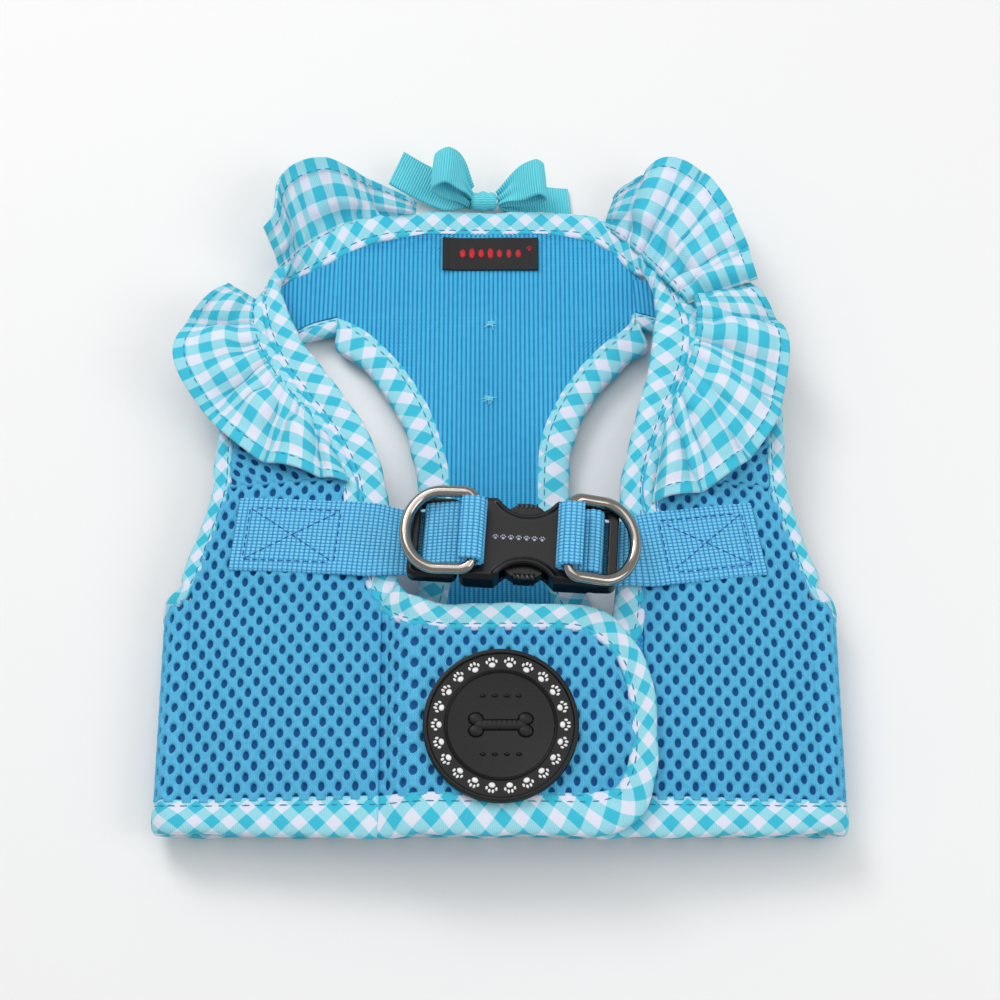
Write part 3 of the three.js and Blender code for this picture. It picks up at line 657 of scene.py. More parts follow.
BLACK = paint(8, 8, 9)
PLASTIC = Plain(
    "moulded plastic", "buckle_plastic", BLACK, paint(14, 14, 16), 0.3, 2600, 0.00001, specular=0.35
)
RUBBER = Plain(
    "soft rubber", "patch_rubber", BLACK, paint(18, 18, 20), 0.45, 1800, 0.00002, specular=0.3
)
PRINT = Plain("white print", "patch_rubber", paint(240, 240, 240), paint(226, 226, 228), 0.45)
NICKEL = Plain(
    "nickel plate", "ring_steel", paint(166, 160, 152), paint(158, 153, 147), 0.15, 2500,
    0.000001, 1.0,
)
GREY = Plain("grey print", "buckle_plastic", paint(176, 182, 200), paint(160, 166, 184), 0.5)
SEWING = Plain(
    "sewing thread", "gingham", paint(40, 150, 184), paint(20, 116, 156), 0.6, 3000, 0.00005
)
STRONG = Plain(
    "strong thread", "webbing", paint(26, 96, 172), paint(14, 66, 132), 0.6, 3000, 0.00005
)
TACK = Plain(
    "tack thread", "lining_knit", paint(140, 226, 242), paint(90, 200, 226), 0.6, 3000, 0.00005
)
LABEL = Plain(
    "woven label", "label_weave", paint(14, 14, 16), paint(34, 32, 34), 0.75, 2600, 0.00008,
    stretch=(1, 3, 1),
)
RED = Plain("red weft", "label_weave", paint(206, 24, 40), paint(150, 12, 26), 0.7, 2600, 0.00006)
PILE = Plain(
    "loop pile", "fastener_tape", paint(50, 160, 214), paint(22, 112, 172), 0.9, 1500, 0.0004
)
HOOKS = Plain(
    "hook tape", "fastener_tape", paint(40, 140, 200), paint(16, 92, 150), 0.5, 1900, 0.0005
)
BUTTON = Plain("button", "ribbon", paint(90, 196, 220), paint(70, 180, 206), 0.3, 900, 0.00001)
GINGHAM = {grain: Gingham(grain) for grain in Grain}
AIR, RIB, STRAP, RIBBON = AirMesh(), RibKnit(), Webbing(), Grosgrain()


# workshop


class Shop:
    """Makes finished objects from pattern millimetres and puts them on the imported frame."""

    def __init__(self) -> None:
        """Finds the pattern's origin from the belly's hem."""
        low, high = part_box("hem_belly")
        self.origin = np.array([(low.x + high.x) / 2 / MM, low.y / MM + 88.5, low.z / MM])
        self.materials: dict[str, bpy.types.Material] = {}
        self.pieces: list[bpy.types.Object] = []

    def place(self, points: np.ndarray) -> np.ndarray:
        """Pattern millimetres as metres of the scene."""
        return (np.asarray(points, float) + self.origin) * MM

    def paint_with(self, obj: bpy.types.Object, finish: object) -> None:
        """Gives the object its one finish."""
        key = f"{type(finish).__name__} {getattr(finish, 'name', getattr(finish, 'grain', ''))}"
        if key not in self.materials:
            self.materials[key] = finish.material()
        obj.data.materials.clear()
        obj.data.materials.append(self.materials[key])

    def mesh(
        self,
        name: str,
        points: np.ndarray,
        faces: list,
        finish: object,
        uv: np.ndarray | None = None,
    ) -> bpy.types.Object:
        """Makes a closed smooth mesh that faces outward.

        Args:
            name: the object's name.
            points: its points in pattern millimetres.
            faces: corner numbers of each face.
            finish: its finish.
            uv: the cloth's own millimetres at each point.

        Returns:
            The object.
        """
        name = name.replace(" ", "_")
        places = self.place(points)
        volume = 0.0
        centred = places - places.mean(0)
        by_size: dict[int, list] = {}
        for face in faces:
            by_size.setdefault(len(face), []).append(face)
        for size, group in by_size.items():
            corners = centred[np.asarray(group)]
            for k in range(1, size - 1):
                cross = np.cross(corners[:, k], corners[:, k + 1])
                volume += float((corners[:, 0] * cross).sum())
        if volume < 0:
            faces = [tuple(reversed(face)) for face in faces]
        mesh = bpy.data.meshes.new(name)
        mesh.from_pydata(places.tolist(), [], [tuple(map(int, face)) for face in faces])
        mesh.polygons.foreach_set("use_smooth", np.ones(len(mesh.polygons), bool))
        if uv is not None:
            corners = np.empty(len(mesh.loops), np.int32)
            mesh.loops.foreach_get("vertex_index", corners)
            layer = mesh.uv_layers.new(name="cloth")
            layer.data.foreach_set("uv", np.asarray(uv, np.float32)[corners].ravel())
        mesh.update()
        obj = bpy.data.objects.new(name, mesh)
        bpy.context.scene.collection.objects.link(obj)
        self.paint_with(obj, finish)
        self.pieces.append(obj)
        log.info("%s: %d faces", name, len(mesh.polygons))
        return obj

    def cloth(
        self,
        name: str,
        grid: np.ndarray,
        uv: np.ndarray,
        finish: object,
        above: np.ndarray | float,
        below: np.ndarray | float,
        facing: Sequence[float] | int = (0, 0, 1),
    ) -> bpy.types.Object:
        """Makes a closed layer of cloth about a grid.

        Args:
            name: the object's name.
            grid: points of the layer.
            uv: the cloth's own millimetres at them.
            finish: its finish.
            above: how far its outer face lies from the grid.
            below: how far its inner face lies from the grid.
            facing: roughly where the outer face looks, or the sign of the grid's own normal.

        Returns:
            The object.
        """
        normal = grid_normals(grid)
        if isinstance(facing, int):
            normal = normal * facing
        elif (normal @ np.asarray(facing, float)).mean() < 0:
            normal = -normal
        rows, columns = grid.shape[:2]
        lift = np.broadcast_to(np.asarray(above, float), (rows, columns))[..., None]
        drop = np.broadcast_to(np.asarray(below, float), (rows, columns))[..., None]
        top, bottom = grid + normal * lift, grid - normal * drop
        number = np.arange(rows * columns).reshape(rows, columns)
        a, b = number[:-1, :-1].ravel(), number[1:, :-1].ravel()
        c, d = number[1:, 1:].ravel(), number[:-1, 1:].ravel()
        half = rows * columns
        quads = np.concatenate(
            [np.stack([a, b, c, d], 1), np.stack([a + half, d + half, c + half, b + half], 1)]
        )
        rim = np.concatenate(
            [number[:-1, 0], number[-1, :-1], number[:0:-1, -1], number[0, :0:-1]]
        )
        ahead = np.roll(rim, -1)
        sides = np.stack([rim + half, ahead + half, ahead, rim], 1)
        faces = np.concatenate([quads, sides]).tolist()
        points = np.concatenate([top.reshape(-1, 3), bottom.reshape(-1, 3)])
        flat = uv.reshape(-1, 2)
        return self.mesh(name, points, faces, finish, np.concatenate([flat, flat]))

    def stitches(
        self,
        name: str,
        runs: Iterable[tuple[np.ndarray, np.ndarray]],
        finish: object,
        pitch: float = 3.2,
        length: float = 2.2,
        radius: float = 0.2,
    ) -> bpy.types.Object:
        """Sews rows of stitches as one object.

        Args:
            name: the object's name.
            runs: for each row, its line and the direction out of the cloth along it.
            finish: the thread's finish.
            pitch: from one stitch to the next.
            length: length of a stitch.
            radius: half the thread.

        Returns:
            The object.
        """
        rings = [(-0.5, 0.0), (-0.4, 0.8), (0.0, 1.0), (0.4, 0.8), (0.5, 0.0)]
        sides = 6
        points: list[np.ndarray] = []
        faces: list[tuple] = []
        for line, out in runs:
            at = lengths_along(line)
            places = np.arange(pitch / 2, at[-1] - length / 2, pitch)
            middle = resample(line, at, places)
            along = unit(resample(line, at, places + 0.3) - resample(line, at, places - 0.3))
            up = unit(resample(out, at, places))
            side = np.cross(along, up)
            for m, t, n, s in zip(middle, along, up, side):
                start = len(points)
                for reach, width in rings:
                    centre = m + t * reach * length + n * radius * (0.35 - 1.9 * reach * reach * 2)
                    if width == 0.0:
                        points.append(centre)
                        continue
                    for k in range(sides):
                        angle = 2 * math.pi * k / sides
                        swing = (n * math.cos(angle) * 0.8 + s * math.sin(angle)) * radius * width
                        points.append(centre + swing)
                first = start + 1
                last = first + 3 * sides
                for k in range(sides):
                    beside = (k + 1) % sides
                    faces.append((start, first + beside, first + k))
                    for ring in (0, 1):
                        low = first + ring * sides
                        high = low + sides
                        faces.append((low + k, low + beside, high + beside, high + k))
                    faces.append((last - sides + k, last - sides + beside, last))
        return self.mesh(name, np.array(points), faces, finish)

    def copy_nodes(self, name: str, nodes: Sequence[str], finish: object) -> bpy.types.Object:
        """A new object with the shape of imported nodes, to be worked on further."""
        name = name.replace(" ", "_")
        copies = []
        for node in nodes:
            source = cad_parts[node]
            copy = bpy.data.objects.new(f"{name} {node}", source.data.copy())
            bpy.context.scene.collection.objects.link(copy)
            copy.data.transform(source.matrix_world)
            copies.append(copy)
        select(copies)
        if len(copies) > 1:
            bpy.ops.object.join()
        obj = bpy.context.view_layer.objects.active
        obj.name = name
        obj.data.name = name
        for layer in list(obj.data.attributes):
            if layer.name.startswith("_"):
                obj.data.attributes.remove(layer)
        self.paint_with(obj, finish)
        self.pieces.append(obj)
        return obj


def tube(places: np.ndarray, radius: float, closed: bool, steps: int) -> bpy.types.Object:
    """Sweeps a round section along points.

    Args:
        places: points in the scene, in metres.
        radius: half the tube's thickness, in metres.
        closed: whether it meets itself; otherwise its ends are capped.
        steps: how finely its section is rounded.

    Returns:
        The tube, as a mesh.
    """
    bpy.ops.curve.primitive_bezier_circle_add(location=(0, 0, 0))
    obj = bpy.context.view_layer.objects.active
    obj.data.splines.clear()
    spline = obj.data.splines.new("POLY")
    spline.points.add(len(places) - 1)
    spline.points.foreach_set("co", np.column_stack([places, np.ones(len(places))]).ravel())
    spline.use_cyclic_u = closed
    obj.data.bevel_depth = radius
    obj.data.bevel_resolution = steps
    obj.data.use_fill_caps = not closed
    select([obj])
    bpy.ops.object.convert(target="MESH")
    return bpy.context.view_layer.objects.active


def select(objects: Sequence[bpy.types.Object]) -> None:
    """Selects these objects alone, with the first active."""
    bpy.ops.object.select_all(action="DESELECT")
    for obj in objects:
        obj.select_set(True)
    bpy.context.view_layer.objects.active = objects[0]


def apply_all(obj: bpy.types.Object) -> None:
    """Applies the object's modifiers in order."""
    select([obj])
    for modifier in list(obj.modifiers):
        bpy.ops.object.modifier_apply(modifier=modifier.name)


def settle(grid: np.ndarray, facing: Sequence[float], growth: float, reach: float) -> np.ndarray:
    """Lets a padded panel settle as cloth that is held at its rim.

    Args:
        grid: the panel's fine grid of points.
        facing: roughly where its outer face looks.
        growth: how much larger the cloth is than its place.
        reach: the furthest that it may move, in millimetres.

    Returns:
        How far each point of the fine grid moves outward, in millimetres.
    """
    fine, wide, fewest, most = 0.45, 2.6, 12, 30  # steps in millimetres, and points a side
    rows, columns = (max(fewest, min(most, int(n * fine / wide))) for n in grid.shape[:2])
    pick_rows = np.linspace(0, grid.shape[0] - 1, rows).round().astype(int)
    pick_columns = np.linspace(0, grid.shape[1] - 1, columns).round().astype(int)
    coarse = grid[pick_rows][:, pick_columns]
    normal = grid_normals(coarse)
    number = np.arange(rows * columns).reshape(rows, columns)
    corners = [number[:-1, :-1], number[1:, :-1], number[1:, 1:], number[:-1, 1:]]
    if (normal @ np.asarray(facing, float)).mean() < 0:
        normal = -normal
        corners.reverse()
    quads = np.stack(corners, -1).reshape(-1, 4)
    mesh = bpy.data.meshes.new("settling")
    scale = 0.01  # ten times the panel's size, where cloth is steadier
    mesh.from_pydata((coarse.reshape(-1, 3) * scale).tolist(), [], quads.tolist())
    obj = bpy.data.objects.new("settling", mesh)
    bpy.context.scene.collection.objects.link(obj)
    rim = obj.vertex_groups.new(name="rim")
    edge = np.unique(np.concatenate([number[0], number[-1], number[:, 0], number[:, -1]]))
    rim.add(edge.tolist(), 1.0, "REPLACE")
    modifier = obj.modifiers.new("cloth", "CLOTH")
    settings = modifier.settings
    settings.quality = 8
    settings.mass = 0.4
    settings.tension_stiffness = settings.compression_stiffness = 20
    settings.bending_stiffness = 6
    settings.air_damping = 4
    settings.vertex_group_mass = "rim"
    settings.shrink_min = -growth
    settings.use_pressure = True
    settings.uniform_pressure_force = 0.6
    settings.effector_weights.gravity = 0
    scene, last = bpy.context.scene, 24
    for step in range(1, last + 1):
        scene.frame_set(step)
    settled = obj.evaluated_get(bpy.context.evaluated_depsgraph_get()).data
    after = np.empty(len(settled.vertices) * 3)
    settled.vertices.foreach_get("co", after)
    moved = (after.reshape(rows, columns, 3) / scale - coarse) * normal
    bpy.data.objects.remove(obj)
    bpy.data.meshes.remove(mesh)
    scene.frame_set(1)
    bulge = moved.sum(-1)
    bulge = bulge * min(1.0, reach / max(1e-6, float(np.abs(bulge).max())))
    log.info("settled by %.2f to %.2f mm", bulge.min(), bulge.max())
    return stretched(bulge, grid.shape[:2])


# outlines

CHEST_ROWS = (
    (-39.6, -42, 42), (-37.4, -27, 28), (-31, -16.6, 17.5), (-22, -13.2, 13), (-5, -12.7, 10.4),
    (11, -13.4, 9.9), (22, -15.9, 11), (33, -20, 15), (44, -26.6, 22), (52, -33.6, 29.5),
    (57, -40, 35.4), (60, -44.8, 37.4), (67, -44.9, 38.6), (71, -44.9, 38.2), (77.5, -44.4, 33.2),
    (80.5, -40, 29), (83, -33, 25), (86, -20, 13),
)
TOP_SEAM = ((-42.9, 79.6), (-34, 83.4), (-20, 85), (-4, 85.1), (13, 85), (24, 84), (29.6, 81.6))
TOP_EDGE = (
    (-43.4, 90.4), (-35, 92.6), (-20, 93.2), (-4, 93.2), (13, 93.2), (23, 92.6), (29.2, 90.4),
)
FLAP_SEAM = (
    (-30.6, -34.2), (-27.6, -36.8), (-22, -40), (-14, -41.2), (0, -41.2), (12, -41.2), (22, -42.2),
    (29, -48), (32, -57), (32.6, -67), (31.6, -76), (28.8, -81), (24, -82.3), (10, -82.4),
    (-8, -82.4), (-20, -82.3), (-30, -82.1),
)
FLAP_FREE = (
    (-25.8, -27.6), (-23.6, -30.4), (-20, -32.4), (-14, -33.9), (0, -33.9), (13, -34),
    (25.6, -35.6), (33.8, -43), (38.4, -54), (39.6, -65.5), (38.8, -78), (35.6, -87.6),
    (29.2, -92.4), (13, -93), (-8, -93), (-20, -92.9), (-30, -92.7),
)


@dataclass(frozen=True)
class Half:
    """Outline of the left or right half, from its shoulder down."""

    name: str
    side: int
    corner: tuple
    seam: tuple
    edge: tuple
    armhole: tuple
    inner: float

    def inner_at(self, y: np.ndarray) -> np.ndarray:
        """Where the wing starts, by the neck or the closing."""
        low = self.seam[10:]
        ys = [-p[1] for p in low]
        xs = [p[0] for p in low]
        beside = np.interp(-y, ys, xs)
        return np.where(-y > ys[-1], self.inner, beside - self.side * 1.3)

    def outer_at(self, y: np.ndarray) -> np.ndarray:
        """Where the wing ends, by the armhole or the rolled side."""
        free = blend_between(70.9, 80.5, (2 - y) / 31) + 1
        return self.side * np.minimum(80.5, free)

    def side_ends(self, angle: np.ndarray) -> tuple[np.ndarray, np.ndarray]:
        """Lowest and highest place of the rolled side at an angle."""
        share = 0.5 + np.sin(angle) / 2
        return blend_between(-77.5, -82, share), blend_between(-39.8, -29.4, share)


LEFT = Half(
    "left",
    -1,
    (-45.2, 78, 4),
    (
        (-43.7, 78.9, 4), (-54, 71.8, 5.5), (-60.6, 67.4, 8.6), (-64.4, 62.6, 12.4),
        (-65.4, 56.5, 15.8), (-63.6, 48), (-59.8, 38.5), (-53.1, 28.1), (-46.7, 19.1),
        (-41.6, 10.4), (-38.2, 1.6), (-37.2, -10), (-36.2, -20), (-34.6, -27.5), (-30.8, -34),
    ),
    (
        (-44, 90, 4), (-53, 83.5, 5.5), (-59.2, 76, 9), (-61, 67.5, 13), (-59, 58, 16.2), (-55, 48),
        (-50, 39.5), (-44.2, 31.2), (-37.2, 20.7), (-32, 9), (-29.6, 0), (-28.8, -11), (-27.8, -20),
        (-26.8, -24.5), (-25.8, -27.6),
    ),
    (
        (-45.2, 59.6, 4), (-53, 57, 4.6), (-61, 51.5, 6.2), (-66.5, 45.5, 10), (-70, 39.5, 13.4),
        (-71.2, 33), (-71.3, 27), (-71, 20.6), (-71, 14.6), (-71, 8.6), (-71.2, 2.6),
    ),
    -30.35,
)
RIGHT = Half(
    "right",
    1,
    (37.8, 71.2, 4.2),
    (
        (30.6, 80.6, 4), (37.4, 72.8, 5.6), (43.6, 69.2, 8.8), (48.2, 62, 13), (51.4, 52.5, 16.6),
        (51.8, 44.5), (49.6, 34.5), (45.6, 25), (42, 15.5), (39.4, 7.5), (38.2, 1.6), (38.4, -10),
        (38.2, -20), (37.4, -30), (37, -37),
    ),
    (
        (30, 90, 4), (39.4, 81, 6), (41.6, 70.5, 10.4), (42.4, 60, 14.4), (42.2, 51, 17),
        (41, 43.2), (39.5, 34.6), (37.3, 25.4), (34.4, 14.4), (32.6, 6.5), (31.6, 0), (30.8, -11),
        (30.4, -20), (29.6, -28), (28.8, -34.4),
    ),
    (
        (37.8, 61, 4.2), (45, 58.4, 5), (53, 53.2, 7), (60, 47, 10.6), (65.6, 40.6, 13.4),
        (69.6, 34), (71, 27.4), (71, 21), (71, 14.8), (71, 8.6), (71.2, 2.6),
    ),
    36.8,
)
HALVES = (LEFT, RIGHT)


# body panels


@dataclass
class Panels:
    """Padded mesh panels with their linings."""

    shop: Shop
    mesh_out: float = 1.65
    mesh_in: float = 0.8
    lining: tuple[float, float] = (-0.95, 1.6)
    step: float = 0.42
    linings: dict[str, tuple[bpy.types.Object, np.ndarray]] = field(default_factory=dict)
    panels: dict[str, bpy.types.Object] = field(default_factory=dict)

    def panel(
        self,
        name: str,
        grid: np.ndarray,
        uv: np.ndarray,
        facing: Sequence[float],
        body: str,
        nodes: Sequence[str],
        groove: np.ndarray | float = 0,
        soft: tuple[float, float] = (0.03, 1.3),
    ) -> bpy.types.Object:
        """Makes one padded panel of air mesh.

        Args:
            name: the object's name.
            grid: points of the fabric's middle.
            uv: the cloth's own millimetres.
            facing: where the outer face looks.
            body: the body that it rides on.
            nodes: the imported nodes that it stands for.
            groove: how far seams pull its face in.
            soft: growth and reach of its settling.

        Returns:
            The panel.
        """
        bulge = settle(grid, facing, *soft) if soft[1] else np.zeros(grid.shape[:2])
        relief = AIR.relief(uv[..., 0], uv[..., 1])
        above = self.mesh_out + relief + bulge - groove
        title = f"{name} mesh"
        obj = self.shop.cloth(title, grid, uv, AIR, above, self.mesh_in - bulge * 0.8, facing)
        self.panels[name] = obj
        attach(obj, body)
        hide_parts(*nodes)
        return obj

    def inside(
        self,
        name: str,
        grid: np.ndarray,
        uv: np.ndarray,
        facing: Sequence[float],
        body: str,
        nodes: Sequence[str] = (),
        relief: bool = False,
    ) -> bpy.types.Object:
        """Makes the thin rib-knit lining of a panel, which faces the other way."""
        inward = [-c for c in facing]
        ribs = RIB.relief(uv[..., 0], uv[..., 1]) if relief else 0
        obj = self.shop.cloth(name, grid, uv, RIB, self.lining[1] + ribs, self.lining[0], inward)
        self.linings[name] = (obj, grid)
        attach(obj, body)
        if nodes:
            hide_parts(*nodes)
        return obj

    def wing(self, half: Half) -> None:
        """One half of the back, with the rolled side that joins it to the belly."""
        for step, lined in ((self.step, False), (1.5, True)):
            y = np.arange(-83.2, 3.0, step)
            inner, outer = half.inner_at(y), half.outer_at(y)
            count = int(50 / step)
            share = np.linspace(0, 1, count)[None, :]
            x = inner[:, None] + (outer - inner)[:, None] * share
            yy = np.broadcast_to(y[:, None], x.shape)
            grid = np.stack([x, yy, DRAPE.back(x, yy)], -1)
            uv = np.stack([x, yy], -1)
            up = (0, 0, 1)
            if lined:
                nodes = [f"wing_lining_{half.name}"]
                self.inside(f"wing {half.name} lining", grid, uv, up, "vest", nodes)
                continue
            near = np.where(yy < -34, np.exp(-(((x - half.inner) / 1.0) ** 2)), 0)
            self.panel(f"wing {half.name}", grid, uv, up, "vest", [f"wing_{half.name}"], near * 0.8)

        angle = np.radians(np.linspace(-90, 90, 44))
        low, high = half.side_ends(angle)
        share = np.linspace(0, 1, 120)[None, :]
        y = low[:, None] - 1 + (high - low + 2)[:, None] * share
        grid = DRAPE.turn(half.side, np.broadcast_to(angle[:, None], y.shape), y)
        along = half.side * (80.5 + DRAPE.fold_radius * (np.pi / 2 - angle))
        uv = np.stack([np.broadcast_to(along[:, None], y.shape), y], -1)
        facing = (half.side, 0, 0)
        none = (0.0, 0.0)
        self.panel(f"side {half.name}", grid, uv, facing, "vest", [f"side_{half.name}"], 0, none)
        thin = grid[::3, ::3]
        self.inside(f"side {half.name} lining", thin, uv[::3, ::3], facing, "vest")

    def shoulder(self, half: Half) -> None:
        """The strap from the chest's corner round the shoulder to the wing."""
        seam = on_back(half.seam)[: len(half.armhole)]
        upper = on_back(half.armhole)
        seam[0] = list(half.corner)
        seam[1] = [(a + b) / 2 for a, b in zip(seam[0], seam[2])]
        seam[-1][1] = upper[-1][1]
        a, b, along = rails(seam, upper, 0.55)
        grid = ruled(a, b, 84)
        s = np.linspace(0, 1, len(a))[:, None]
        lie = np.maximum(grid[..., 2], DRAPE.back(grid[..., 0], grid[..., 1]))
        grid[..., 2] = blend_between(grid[..., 2], lie, smoothstep(s, 0.5, 0.7))
        across = np.linalg.norm(grid - grid[:, :1], axis=-1)
        uv = np.stack([across, np.broadcast_to(along[:, None], across.shape)], -1)
        name = f"shoulder {half.name}"
        sign = 1 if grid_normals(grid)[len(a) - 4].mean(0)[2] > 0 else -1
        above = self.mesh_out + AIR.relief(uv[..., 0], uv[..., 1])
        obj = self.shop.cloth(f"{name} mesh", grid, uv, AIR, above, self.mesh_in, sign)
        self.panels[name] = obj
        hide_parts(f"shoulder_{half.name}")
        flat = grid[..., :2].copy()
        ribs = self.lining[1] + RIB.relief(flat[..., 0], flat[..., 1])
        thin = self.shop.cloth(f"{name} lining", grid, flat, RIB, ribs, self.lining[0], -sign)
        self.linings[f"{name} lining"] = (thin, grid)
        for layer in (obj, thin):
            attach(layer, "vest")

    def chest(self) -> None:
        """The chest under the neck, with its ribbed inside to the front."""
        left = [(r[1] - 1.2, r[0], float(DRAPE.chest(r[0]))) for r in CHEST_ROWS]
        right = [(r[2] + 1.2, r[0], float(DRAPE.chest(r[0]))) for r in CHEST_ROWS]
        down = (0, 0, -1)
        for name, step, columns in (("chest", 0.62, 150), ("chest lining", 1.3, 300)):
            grid = ruled(*rails(left, right, step)[:2], columns)
            uv = grid[..., :2].copy()
            if name == "chest":
                self.panel(name, grid, uv, down, "vest", ["chest_panel"], 0, (0.03, 0.5))
            else:
                self.inside(name, grid, uv, down, "vest", ["chest_lining"], relief=True)
        for name, step in (("belly", 0.62), ("belly lining", 1.6)):
            y = np.arange(-78.6, -39.7, step)
            x = np.arange(-80.5, 80.6, step)
            xx, yy = np.meshgrid(x, y, indexing="ij")
            grid = np.stack([xx, yy, DRAPE.chest(yy)], -1)
            uv = np.stack([xx, yy], -1)
            if name == "belly":
                self.panel(name, grid, uv, down, "vest", ["belly_panel"], 0, (0.03, 0.4))
            else:
                self.inside(name, grid, uv, down, "vest", ["belly_lining"])

    def flap(self) -> None:
        """The closing flap, the loop tape that it lies on and its own hook tape."""
        limit_x = (-30.4, -27.6, -22, -14, 0, 12, 22, 29, 32, 33.6)
        limit_y = (-34.6, -35.4, -39.2, -40.4, -40.4, -40.4, -41.4, -47.4, -56.6, -62)
        for name, step in (("flap", self.step), ("flap lining", 1.5)):
            x = np.arange(-30.25, 33.6, step)
            rows = int(46 / step)
            share = np.linspace(0, 1, rows)[None, :]
            top = np.interp(x, limit_x, limit_y)
            y = -83.4 + (top + 83.4)[:, None] * share
            xx = np.broadcast_to(x[:, None], y.shape)
            grid = np.stack([xx, y, DRAPE.flap(xx, y)], -1)
            uv = np.stack([xx, y], -1)
            if name == "flap":
                groove = 0.9 * np.exp(-(((xx + 30.25) / 1.0) ** 2))
                groove = groove + 2.4 * smoothstep(np.hypot(xx - 33.6, y + 83.4), 13, 6)
                self.panel(name, grid, uv, (0, 0, 1), "flap", ["flap_panel"], groove)
            else:
                self.inside(name, grid, uv, (0, 0, 1), "flap")
        for name, node, finish, box, low, high, body in (
            ("loop tape", "loop_panel", PILE, (-17, 36.6, -82, -40.6), -0.25, 0.8, "vest"),
            ("hook tape", "hook_patch", HOOKS, (-16, 27.6, -78, -45.8), 1.45, 0.6, "flap"),
        ):
            x = np.linspace(box[0], box[1], 60)
            y = np.linspace(box[2], box[3], 50)
            xx, yy = np.meshgrid(x, y, indexing="ij")
            grid = np.stack([xx, yy, DRAPE.back(xx, yy) + low], -1)
            uv = np.stack([xx, yy], -1)
            obj = self.shop.cloth(name, grid, uv, finish, high, high)
            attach(obj, body)
            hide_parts(node)

    def build(self) -> None:
        """Builds every panel."""
        for half in HALVES:
            self.wing(half)
            self.shoulder(half)
        self.chest()
        self.flap()

    def declare(self, bands: dict[str, list[bpy.types.Object]]) -> None:
        """Takes the bands that are sewn to the linings' edges and does nothing with them."""


# bindings


